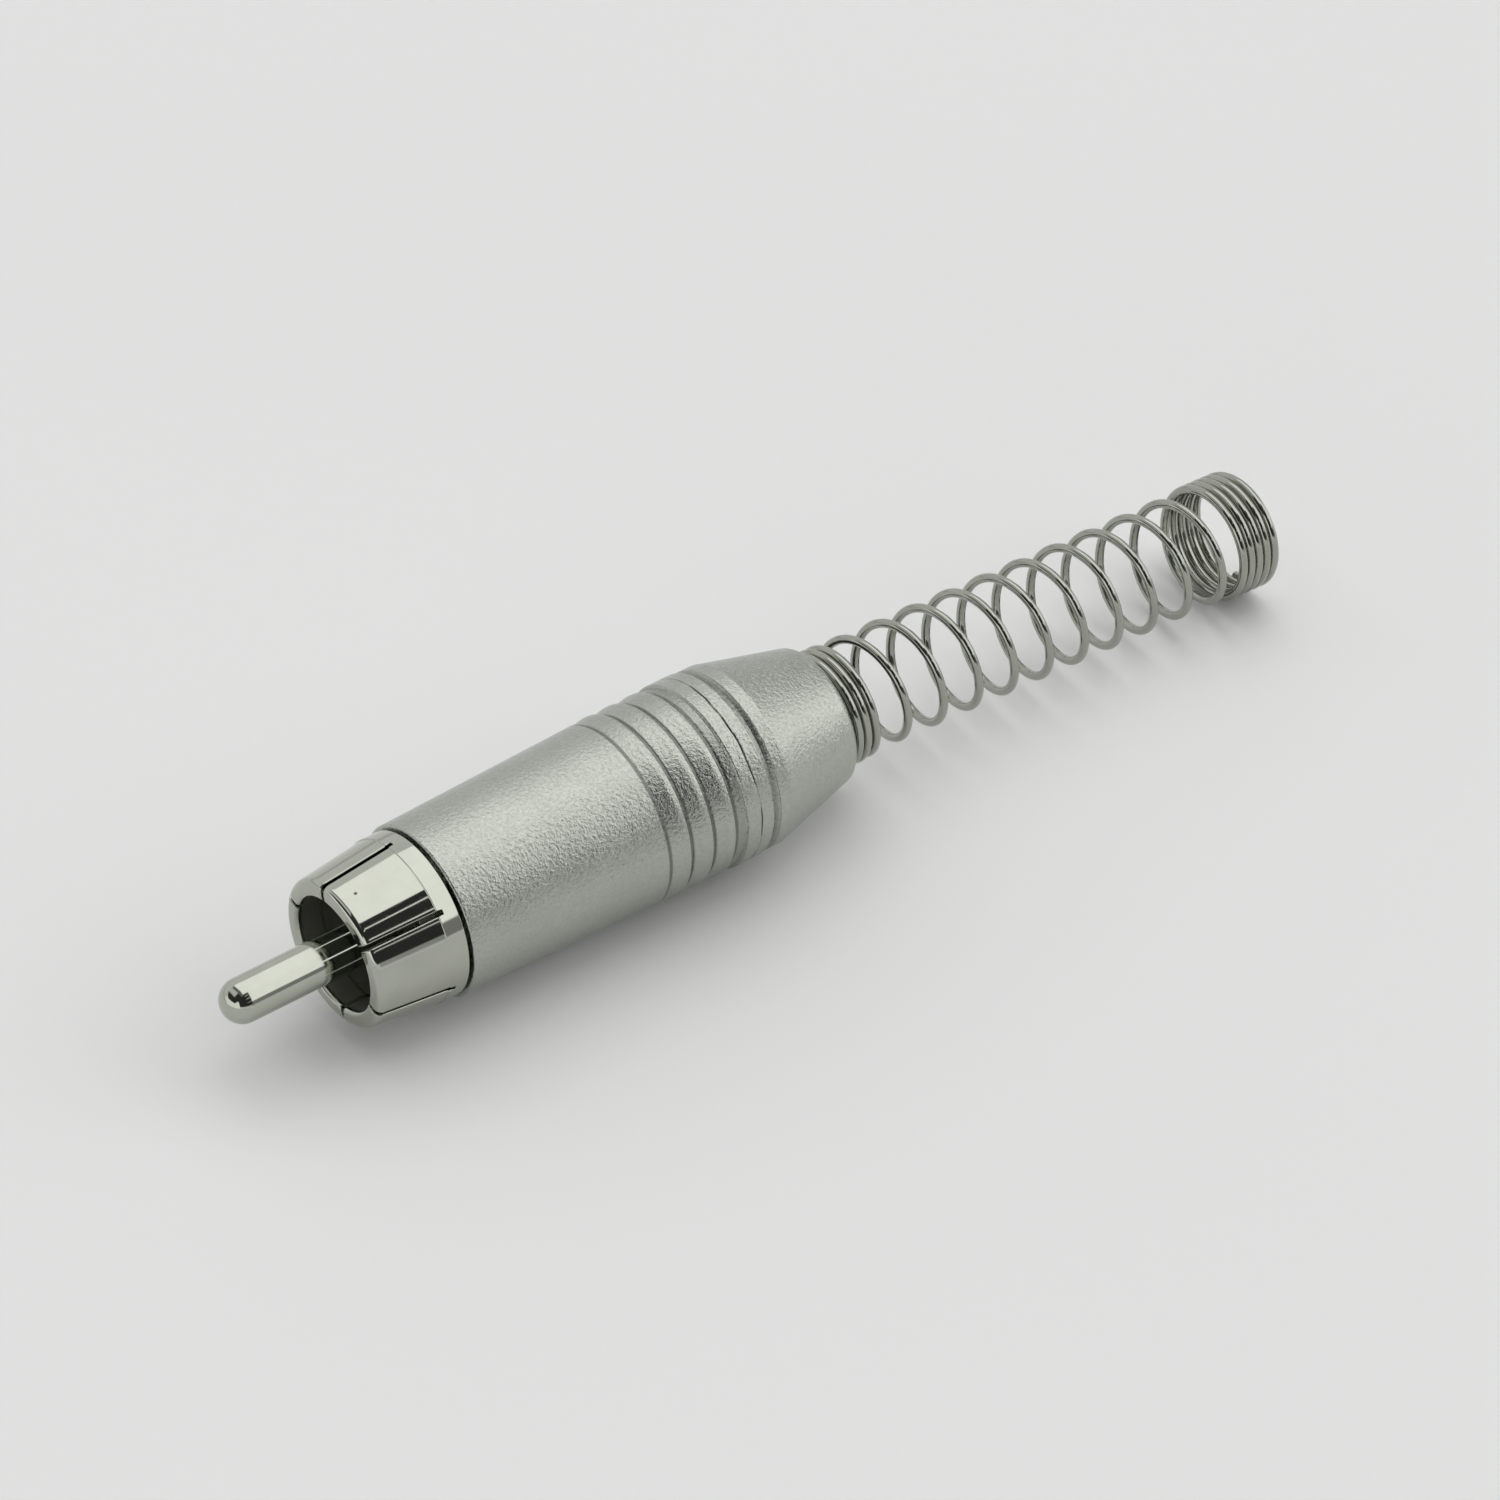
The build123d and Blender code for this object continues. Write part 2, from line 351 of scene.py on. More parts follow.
@dataclass(frozen=True)
class Ramp:
    """A mapping from one range to another, held at both ends.

    Attributes:
        low: The value that gives start.
        high: The value that gives end.
        start: The result at low.
        end: The result at high.
    """

    low: float
    high: float
    start: float = 0.0
    end: float = 1.0


class Sheet:
    """A material's nodes, with short ways to add one and to join it."""

    def __init__(self, name: str) -> None:
        """Start a material with one Principled shader.

        Args:
            name: The material's name.
        """
        self.material = bpy.data.materials.new(name)
        self.material.use_nodes = True
        self.nodes = self.material.node_tree.nodes
        self.links = self.material.node_tree.links
        self.shader = self.nodes["Principled BSDF"]

    def set(self, **values: object) -> None:
        """Set the shader's own sockets, by names with underscores for spaces."""
        for name, value in values.items():
            self.shader.inputs[name.replace("_", " ")].default_value = value

    def node(self, kind: str, **settings: object) -> bpy.types.Node:
        """Add a node and set its properties.

        Args:
            kind: The node's type in Blender.
            **settings: Its properties, by name.

        Returns:
            The new node.
        """
        made = self.nodes.new(kind)
        for name, value in settings.items():
            setattr(made, name, value)
        return made

    def feed(self, socket: Socket, value: object) -> None:
        """Join a socket to another node's output, or set it to a constant.

        Args:
            socket: The socket to feed.
            value: An output, or a constant.
        """
        if isinstance(value, Socket):
            self.links.new(value, socket)
        else:
            socket.default_value = value

    def filled(self, kind: str, result: str | int, inputs: dict, **settings: object) -> Socket:
        """Add a node, feed its inputs and return one of its outputs.

        Args:
            kind: The node's type in Blender.
            result: The name or number of the output.
            inputs: What goes into each input, by its name or number.
            **settings: The node's properties, by name.

        Returns:
            The output.
        """
        made = self.node(kind, **settings)
        for key, value in inputs.items():
            self.feed(made.inputs[key], value)
        return made.outputs[result]

    def math(self, operation: str, first: object, second: object = 0.0) -> Socket:
        """Work out one operation on one or two values."""
        return self.filled("ShaderNodeMath", 0, {0: first, 1: second}, operation=operation)

    def place(self) -> Socket:
        """The point on the piece in its own frame, in millimetres."""
        return self.shaded(self.node("ShaderNodeTexCoord").outputs["Object"], 1 / MM)

    def parts(self, vector: object) -> dict[str, Socket]:
        """Split a vector into its shares along X, Y and Z.

        Args:
            vector: The vector to split.

        Returns:
            The three outputs, by the axis.
        """
        split = self.node("ShaderNodeSeparateXYZ")
        self.feed(split.inputs[0], vector)
        return {axis: split.outputs[axis] for axis in "XYZ"}

    def around(self, spread: float) -> Socket:
        """The point as place along the axis and way around it, so that marks run around the piece.

        Args:
            spread: How far one turn around the axis reaches in the pattern.

        Returns:
            The vector output.
        """
        point = self.parts(self.place())
        angle = self.math("ARCTAN2", point["Z"], point["Y"])
        up = self.math("MULTIPLY", self.math("SINE", angle), spread)
        across = self.math("MULTIPLY", self.math("COSINE", angle), spread)
        return self.filled("ShaderNodeCombineXYZ", 0, {"X": point["X"], "Y": up, "Z": across})

    def stretched(self, vector: object, scale: tuple[float, float, float]) -> Socket:
        """Multiply a vector by three factors."""
        return self.filled("ShaderNodeVectorMath", 0, {0: vector, 1: scale}, operation="MULTIPLY")

    def noise(self, vector: object, grain: Grain) -> Socket:
        """Add a noise texture.

        Args:
            vector: Where the texture is read.
            grain: Its pattern.

        Returns:
            Its value, from 0 to 1.
        """
        inputs = {"Vector": vector, "Scale": grain.scale, "Detail": grain.detail, "Roughness": grain.rough}
        return self.filled("ShaderNodeTexNoise", "Fac", inputs)

    def spread(self, value: object, ramp: Ramp, kind: str = "LINEAR") -> Socket:
        """Map a value by a ramp.

        Args:
            value: What to map.
            ramp: From which range to which.
            kind: How it goes from one end to the other.

        Returns:
            The mapped value.
        """
        inputs = {"Value": value, "From Min": ramp.low, "From Max": ramp.high}
        inputs |= {"To Min": ramp.start, "To Max": ramp.end}
        return self.filled("ShaderNodeMapRange", "Result", inputs, interpolation_type=kind)

    def mixed(self, share: object, first: object, second: object) -> Socket:
        """Mix two colours.

        Args:
            share: How much of the second there is, from 0 to 1.
            first: A colour, or an output that gives one.
            second: The other colour.

        Returns:
            The mixed colour.
        """
        colours = [c if isinstance(c, Socket) else (*c, 1.0) for c in (first, second)]
        inputs = {"Factor": share, "A": colours[0], "B": colours[1]}
        return self.filled("ShaderNodeMix", "Result", inputs, data_type="RGBA")

    def shaded(self, vector: object, factor: object) -> Socket:
        """Multiply a colour or another vector by a factor."""
        return self.filled("ShaderNodeVectorMath", 0, {0: vector, "Scale": factor}, operation="SCALE")

    def bump(self, height: object, depth: float, normal: object = None) -> Socket:
        """Add relief of a real depth, over another relief if one is given.

        Args:
            height: The relief's pattern, from 0 to 1.
            depth: Its depth in millimetres.
            normal: The relief under it, or None.

        Returns:
            The normal's output.
        """
        inputs = {"Height": height, "Distance": depth * MM}
        if normal is not None:
            inputs["Normal"] = normal
        return self.filled("ShaderNodeBump", "Normal", inputs)

    def drive(self, name: str, value: Socket) -> None:
        """Join an output to one of the shader's sockets."""
        self.links.new(value, self.shader.inputs[name])


@dataclass(frozen=True)
class Finish:
    """A surface finish, which makes its own material.

    Attributes:
        name: The material's name.
        slot: The record's slot that it stands for.
        colour: The surface's colour.
        roughness: Its mean roughness.
    """

    name: str
    slot: str
    colour: Colour
    roughness: float

    def material(self) -> bpy.types.Material:
        """Make the material. Each finish has its own way."""
        raise NotImplementedError

    def put_on(self, piece: Piece) -> None:
        """Dress a piece in this finish.

        Args:
            piece: The piece to dress.
        """
        piece.data.materials.clear()
        piece.data.materials.append(self.material())

    def clouded(self, sheet: Sheet, cloud: Socket, shade: float) -> Socket:
        """The colour, with clouds in which it is a little darker.

        Args:
            sheet: The material's nodes.
            cloud: The clouds' pattern.
            shade: How bright the colour stays in the darkest of them.

        Returns:
            The clouded colour.
        """
        darker = tuple(c * shade for c in self.colour)
        return sheet.mixed(sheet.spread(cloud, Ramp(0.3, 0.7)), darker, self.colour)

    def varied(self, sheet: Sheet, pattern: Socket, share: Ramp) -> Socket:
        """The roughness, varied by a pattern.

        Args:
            sheet: The material's nodes.
            pattern: The pattern.
            share: From the pattern's value to the factor by which the mean is multiplied.

        Returns:
            The roughness.
        """
        start, end = self.roughness * share.start, self.roughness * share.end
        return sheet.spread(pattern, Ramp(share.low, share.high, start, end))


@dataclass(frozen=True)
class PolishedNickel(Finish):
    """Bright nickel plate over turned brass, with faint turning marks left under the plate.

    Attributes:
        cloud: The clouds in its tone.
        cloud_shade: How bright it stays in them.
        marks: The turning marks.
        mark_spread: How far one turn reaches in their pattern.
        mark_scale: How close they lie along the axis, and around it.
        mark_depth: How deep they are.
        smear: The patches in which the plate is less bright.
        smear_scale: How they are stretched.
        smear_share: How much rougher the plate is in them.
        pit: A small dark pit's place, or None.
        pit_edge: The radius of the pit's floor and of its mouth.
        pit_depth: How deep it is.
        pit_roughness: How rough its floor is.
        pit_colour: Its floor's colour.
        bore: The radius inside which the plate is left dull, or 0.
        bore_edge: Over what length of radius the dull plate ends.
        bore_front: Where the dull plate starts on the axis, and where it is fully dull.
        bore_roughness: How rough the dull plate is.
    """

    name: str = "polished_nickel"
    slot: str = "polished_nickel"
    colour: Colour = (0.465, 0.480, 0.418)
    roughness: float = 0.05
    cloud: Grain = Grain(0.55, 3.0, 0.55)
    cloud_shade: float = 0.93
    marks: Grain = Grain(1.0, 4.0, 0.7)
    mark_spread: float = 0.35
    mark_scale: tuple[float, float, float] = (26.0, 1.0, 1.0)
    mark_depth: float = 0.0001
    smear: Grain = Grain(1.3, 3.0, 0.6)
    smear_scale: tuple[float, float, float] = (0.5, 1.4, 1.4)
    smear_share: Ramp = Ramp(0.35, 0.75, 0.8, 1.7)
    pit: tuple[float, float, float] | None = None
    pit_edge: Point = (0.06, 0.16)
    pit_depth: float = 0.02
    pit_roughness: float = 0.5
    pit_colour: Colour = (0.09, 0.085, 0.07)
    bore: float = 0.0
    bore_edge: float = 0.12
    bore_front: Point = (0.2, 0.5)
    bore_roughness: float = 0.46

    def material(self) -> bpy.types.Material:
        """Make the plate's material.

        Returns:
            The material.
        """
        sheet = Sheet(self.name)
        sheet.set(Metallic=1.0)
        place = sheet.place()
        tone = self.clouded(sheet, sheet.noise(place, self.cloud), self.cloud_shade)
        marks = sheet.noise(sheet.stretched(sheet.around(self.mark_spread), self.mark_scale), self.marks)
        smear = sheet.noise(sheet.stretched(place, self.smear_scale), self.smear)
        rough = self.varied(sheet, smear, self.smear_share)
        normal = sheet.bump(marks, self.mark_depth)
        if self.pit is not None:
            ends = {0: place, 1: self.pit}
            away = sheet.filled("ShaderNodeVectorMath", "Value", ends, operation="DISTANCE")
            inside = sheet.spread(away, Ramp(*self.pit_edge, 1.0, 0.0))
            tone = sheet.mixed(inside, tone, self.pit_colour)
            rough = self._at_least(sheet, rough, inside, self.pit_roughness)
            normal = sheet.bump(sheet.math("SUBTRACT", 1.0, inside), self.pit_depth, normal)
        if self.bore:
            rough = self._at_least(sheet, rough, self._inside(sheet, place), self.bore_roughness)
        sheet.drive("Base Color", tone)
        sheet.drive("Roughness", rough)
        sheet.drive("Normal", normal)
        return sheet.material

    def _inside(self, sheet: Sheet, place: Socket) -> Socket:
        """The share, from 0 to 1, by which a point lies in the bore, behind the mouth's rim.

        Args:
            sheet: The material's nodes.
            place: The point, in millimetres.

        Returns:
            The share.
        """
        flat = sheet.stretched(place, (0.0, 1.0, 1.0))
        radius = sheet.filled("ShaderNodeVectorMath", "Value", {0: flat}, operation="LENGTH")
        within = sheet.spread(radius, Ramp(self.bore, self.bore + self.bore_edge, 1.0, 0.0))
        return sheet.math("MULTIPLY", within, sheet.spread(sheet.parts(place)["X"], Ramp(*self.bore_front)))

    @staticmethod
    def _at_least(sheet: Sheet, rough: Socket, share: Socket, dull: float) -> Socket:
        """The roughness, raised to a dull one where a share says so."""
        return sheet.math("MAXIMUM", rough, sheet.math("MULTIPLY", share, dull))


@dataclass(frozen=True)
class SatinNickel(Finish):
    """Nickel plate over blasted brass: a fine even grain that glints where the light changes.

    Attributes:
        cloud: The clouds in its tone.
        cloud_shade: How bright it stays in them.
        coarse: The blasted grain, in waves to a millimetre.
        fine: The finer grain over it.
        fine_share: How much of the relief is the finer grain's.
        grain_depth: How deep the grain is.
        grain_shade: How the coarse grain darkens and lightens the plate.
        grain_rough: From the fine grain to how much is added to the roughness.
        painted_score_darkening: From the score's depth to how bright the plate stays: painted shade in the
            wide ring's hairline score.
        first_groove: The middle of the groove in front of the first narrow ring, on the axis.
        groove_step: How far apart the narrow rings' grooves are.
        groove_count: How many steps of grooves there are.
        groove_sides: How far from its middle a groove starts to lighten, and ends.
        groove_lead: How far in front of the first groove's middle the shade begins.
        grooves: The other grooves: their front and rear, and how dark the painted shade in them is.
        groove_edge: How soft their ends are, to each side.
        painted_groove_shade: How bright the plate stays under the painted shade in the darkest groove.
    """

    name: str = "satin_nickel"
    slot: str = "satin_nickel"
    colour: Colour = (0.466, 0.485, 0.438)
    roughness: float = 0.22
    cloud: Grain = Grain(0.35, 3.0, 0.6)
    cloud_shade: float = 0.94
    coarse: Grain = Grain(4.0, 2.0, 0.55)
    fine: Grain = Grain(10.4, 2.0, 0.6)
    fine_share: float = 0.45
    grain_depth: float = 0.06
    grain_shade: Ramp = Ramp(0.3, 0.72, 0.88, 1.04)
    grain_rough: Ramp = Ramp(0.3, 0.7, -0.04, 0.06)
    painted_score_darkening: Ramp = Ramp(0.05, 0.8, 1.0, 0.15)
    first_groove: float = 22.91
    groove_step: float = 1.85
    groove_count: float = 3.2
    groove_sides: Point = (0.10, 0.24)
    groove_lead: float = 0.2
    grooves: tuple[tuple[float, float, float], ...] = ((28.6, 29.24, 0.35), (31.56, 31.98, 0.6))
    groove_edge: float = 0.1
    painted_groove_shade: float = 0.42

    def material(self) -> bpy.types.Material:
        """Make the blasted plate's material.

        Returns:
            The material.
        """
        sheet = Sheet(self.name)
        sheet.set(Metallic=1.0)
        place = sheet.place()
        tone = self.clouded(sheet, sheet.noise(place, self.cloud), self.cloud_shade)
        coarse = sheet.noise(place, self.coarse)
        fine = sheet.noise(place, self.fine)
        height = sheet.math("ADD", coarse, sheet.math("MULTIPLY", fine, self.fine_share))
        rough = sheet.math("ADD", sheet.spread(fine, self.grain_rough), self.roughness)
        # How deep the wide ring's score is here, which sets the painted shade in it.
        painted_score_shade = sheet.node("ShaderNodeAttribute", attribute_name=Shell.PAINTED_SCORE_SHADE).outputs["Fac"]
        # The colour is darkened by the coarse grain's own tone, by painted shade in the grooves and by
        # painted shade in the wide ring's score.
        for shade in (
            sheet.spread(coarse, self.grain_shade),
            self._painted_groove_shade(sheet, sheet.parts(place)["X"]),
            sheet.spread(painted_score_shade, self.painted_score_darkening),
        ):
            tone = sheet.shaded(tone, shade)
        sheet.drive("Base Color", tone)
        sheet.drive("Roughness", rough)
        sheet.drive("Normal", sheet.bump(height, self.grain_depth))
        return sheet.material

    def _painted_groove_shade(self, sheet: Sheet, along: Socket) -> Socket:
        """How bright the plate is, with painted shade darkening the grooves.

        Args:
            sheet: The material's nodes.
            along: The place on the axis, in millimetres.

        Returns:
            A factor for the colour.
        """
        # Painted shade in the narrow rings' grooves, one band at each ring's step.
        start = sheet.math("SUBTRACT", along, self.first_groove)
        away = sheet.math("PINGPONG", start, self.groove_step / 2)
        shade = sheet.spread(away, Ramp(*self.groove_sides, 1.0, 0.0))
        last = self.first_groove + self.groove_count * self.groove_step
        for test, end in (("GREATER_THAN", self.first_groove - self.groove_lead), ("LESS_THAN", last)):
            shade = sheet.math("MULTIPLY", sheet.math(test, along, end), shade)
        edge = self.groove_edge
        # A band of painted shade in each of the other grooves.
        for front, rear, strength in self.grooves:
            band = sheet.math(
                "MULTIPLY",
                sheet.spread(along, Ramp(front - edge, front + edge)),
                sheet.spread(along, Ramp(rear - edge, rear + edge, 1.0, 0.0)),
            )
            shade = sheet.math("MAXIMUM", shade, sheet.math("MULTIPLY", band, strength))
        return sheet.spread(shade, Ramp(0.0, 1.0, 1.0, self.painted_groove_shade))


@dataclass(frozen=True)
class DrawnWire(Finish):
    """Bright plated wire with fine drawing lines along its length.

    Attributes:
        lines: The drawing lines.
        line_scale: How often they change along the wire, and how many there are around it.
        line_depth: How deep they are.
        patches: The patches in which the plate is thinner.
        patch_scale: How often they change along the wire and around it.
        patch_shade: How bright the wire stays in them.
        patch_share: How much rougher the wire is in them.
    """

    name: str = "spring_wire"
    slot: str = "spring_wire"
    colour: Colour = (0.405, 0.415, 0.369)
    roughness: float = 0.085
    lines: Grain = Grain(1.0, 3.0, 0.6)
    line_scale: tuple[float, float, float] = (0.35, 9.0, 0.0)
    line_depth: float = 0.00012
    patches: Grain = Grain(1.0, 3.0, 0.6)
    patch_scale: tuple[float, float, float] = (0.28, 1.2, 0.0)
    patch_shade: float = 0.86
    patch_share: Ramp = Ramp(0.3, 0.75, 0.75, 1.6)

    def material(self) -> bpy.types.Material:
        """Make the wire's material from its own length and turn coordinates.

        Returns:
            The material.
        """
        sheet = Sheet(self.name)
        sheet.set(Metallic=1.0)
        along = sheet.node("ShaderNodeUVMap", uv_map=Spring.CHART).outputs["UV"]
        lines = sheet.noise(sheet.stretched(along, self.line_scale), self.lines)
        patches = sheet.noise(sheet.stretched(along, self.patch_scale), self.patches)
        sheet.drive("Base Color", self.clouded(sheet, patches, self.patch_shade))
        sheet.drive("Roughness", self.varied(sheet, patches, self.patch_share))
        sheet.drive("Normal", sheet.bump(lines, self.line_depth))
        return sheet.material


@dataclass(frozen=True)
class TinnedBrass(Finish):
    """Sheet brass under a dull, slightly wavy coat of tin.

    Attributes:
        wave: The waves of the tin.
        wave_depth: How deep they are.
        wave_share: How much rougher the tin is on them.
        thin: Where the tin is thin.
        thin_share: From that pattern to how much of the brass shows.
        brass_shade: How much green and blue the brass has, as shares of the tin's.
    """

    name: str = "tinned_brass"
    slot: str = "tinned_brass"
    colour: Colour = (0.66, 0.65, 0.60)
    roughness: float = 0.28
    wave: Grain = Grain(1.1, 3.0, 0.5)
    wave_depth: float = 0.03
    wave_share: Ramp = Ramp(0.3, 0.7, 0.8, 1.5)
    thin: Grain = Grain(0.8, 4.0, 0.65)
    thin_share: Ramp = Ramp(0.62, 0.78, 0.0, 0.6)
    brass_shade: Point = (0.93, 0.74)

    def material(self) -> bpy.types.Material:
        """Make the tinned sheet's material.

        Returns:
            The material.
        """
        sheet = Sheet(self.name)
        sheet.set(Metallic=1.0)
        place = sheet.place()
        wave = sheet.noise(place, self.wave)
        red, green, blue = self.colour
        brassy = (red, green * self.brass_shade[0], blue * self.brass_shade[1])
        thin = sheet.spread(sheet.noise(place, self.thin), self.thin_share)
        sheet.drive("Base Color", sheet.mixed(thin, self.colour, brassy))
        sheet.drive("Roughness", self.varied(sheet, wave, self.wave_share))
        sheet.drive("Normal", sheet.bump(wave, self.wave_depth))
        return sheet.material


@dataclass(frozen=True)
class MouldedPlastic(Finish):
    """Moulded plastic with the mould's fine spark texture.

    Attributes:
        glow: How much light goes a little way into it.
        glow_depth: How far it goes in, in millimetres.
        cloud: The clouds in its tone.
        cloud_light: How much lighter it is in them.
        texture: The mould's texture.
        texture_depth: How deep it is.
        texture_rough: From the texture to how much is added to the roughness.
    """

    name: str = "black_insulator"
    slot: str = "black_insulator"
    colour: Colour = (0.13, 0.13, 0.123)
    roughness: float = 0.42
    glow: float = 0.0
    glow_depth: float = 0.6
    cloud: Grain = Grain(0.6, 2.0, 0.5)
    cloud_light: float = 1.12
    texture: Grain = Grain(7.0, 2.0, 0.5)
    texture_depth: float = 0.004
    texture_rough: Ramp = Ramp(0.3, 0.7, -0.05, 0.08)

    def material(self) -> bpy.types.Material:
        """Make the plastic's material.

        Returns:
            The material.
        """
        sheet = Sheet(self.name)
        if self.glow:
            sheet.set(Subsurface_Weight=self.glow, Subsurface_Scale=self.glow_depth * MM)
        place = sheet.place()
        texture = sheet.noise(place, self.texture)
        lighter = tuple(min(c * self.cloud_light, 1.0) for c in self.colour)
        sheet.drive("Base Color", sheet.mixed(sheet.noise(place, self.cloud), self.colour, lighter))
        sheet.drive("Roughness", sheet.math("ADD", sheet.spread(texture, self.texture_rough), self.roughness))
        sheet.drive("Normal", sheet.bump(texture, self.texture_depth))
        return sheet.material


class Carrier(Enum):
    """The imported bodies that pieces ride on."""

    PLUG = "plug_body"
    LINER = "liner_sleeve"
    SHELL = "shell_body"
    TAIL = "spring_tail"


NECK_THREAD = Thread(start=7.43, end=12.88, pitch=0.75, depth=0.33, crest=0.3, lead_in=0.4, lead_out=0.0)
SHELL_THREAD = Thread(start=7.68, end=13.43, pitch=0.75, depth=0.30, crest=0.42, lead_in=0.3, lead_out=0.3)


@dataclass
class SignalPin:
    """The centre pin: a round-nosed shaft, its seat in the insulator and a solder cup behind."""

    radius: float = 1.5875
    reach: float = 8.7198
    wall: float = 5.93
    seat_radius: float = 1.8
    seat_length: float = 1.5
    shoulder_radius: float = 2.3
    shoulder_length: float = 1.3
    cup_radius: float = 1.45
    cup_bore: float = 1.0
    cup_depth: float = 4.0
    cup_end: float = 18.68
    cup_cut: float = 2.6
    cup_cone: float = 0.4
    cut_height: float = 0.145
    bead_front: float = 13.88
    bead_radius: float = 1.95
    bead_length: float = 0.4
    columns: int = 96
    nose_steps: int = 18

    def outline(self) -> Outline:
        """The pin's half section, from the nose's tip back and into the cup's bore.

        Returns:
            The outline.
        """
        seat_end = self.wall + self.seat_length
        shoulder_end = seat_end + self.shoulder_length
        nose = self.radius - self.reach
        half = sqrt(0.5) * self.radius
        section = Outline()
        section.arc((-self.reach, 0), (nose - half, half), (nose, self.radius), self.nose_steps)
        section.to(self.wall, self.radius)
        section.to(self.wall, self.seat_radius, 0.05)
        section.to(seat_end, self.seat_radius)
        section.to(seat_end, self.shoulder_radius, 0.1)
        section.to(shoulder_end, self.shoulder_radius, 0.1)
        section.to(shoulder_end, self.cup_radius)
        section.to(self.bead_front, self.cup_radius)
        section.to(self.bead_front, self.bead_radius, 0.12)
        section.to(self.bead_front + self.bead_length, self.bead_radius, 0.18)
        section.to(self.bead_front + self.bead_length, self.cup_radius)
        section.to(self.cup_end, self.cup_radius, 0.08)
        section.to(self.cup_end, self.cup_bore, 0.06)
        section.to(self.cup_end - self.cup_depth, self.cup_bore)
        section.to(self.cup_end - self.cup_depth - self.cup_bore * self.cup_cone, 0)
        return section

    def build(self, finish: Finish) -> Piece:
        """Make the pin, open its cup on top and seat it on the plug's body.

        Args:
            finish: The pin's finish.

        Returns:
            The pin.
        """
        pin = MeshWork.turned("signal_pin", self.outline().points(), self.columns)
        MeshWork.cut_by(pin, self._opening())
        finish.put_on(pin)
        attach(pin, Carrier.PLUG.value)
        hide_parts("center_pin")
        return pin

    def _opening(self) -> Piece:
        """The block that cuts the cup's open side.

        Returns:
            The block.
        """
        front, rear = self.cup_end - self.cup_cut, self.cup_end + 1.0
        side, top = self.cup_radius + 0.5, self.cup_radius + 1.0
        heights = self.cut_height, top
        corners = [Vector((x, y, z)) for x in (front, rear) for y in (-side, side) for z in heights]
        faces = [(0, 1, 3, 2), (4, 6, 7, 5), (0, 4, 5, 1), (2, 3, 7, 6), (0, 2, 6, 4), (1, 5, 7, 3)]
        return MeshWork.made("cup_cutter", corners, faces)


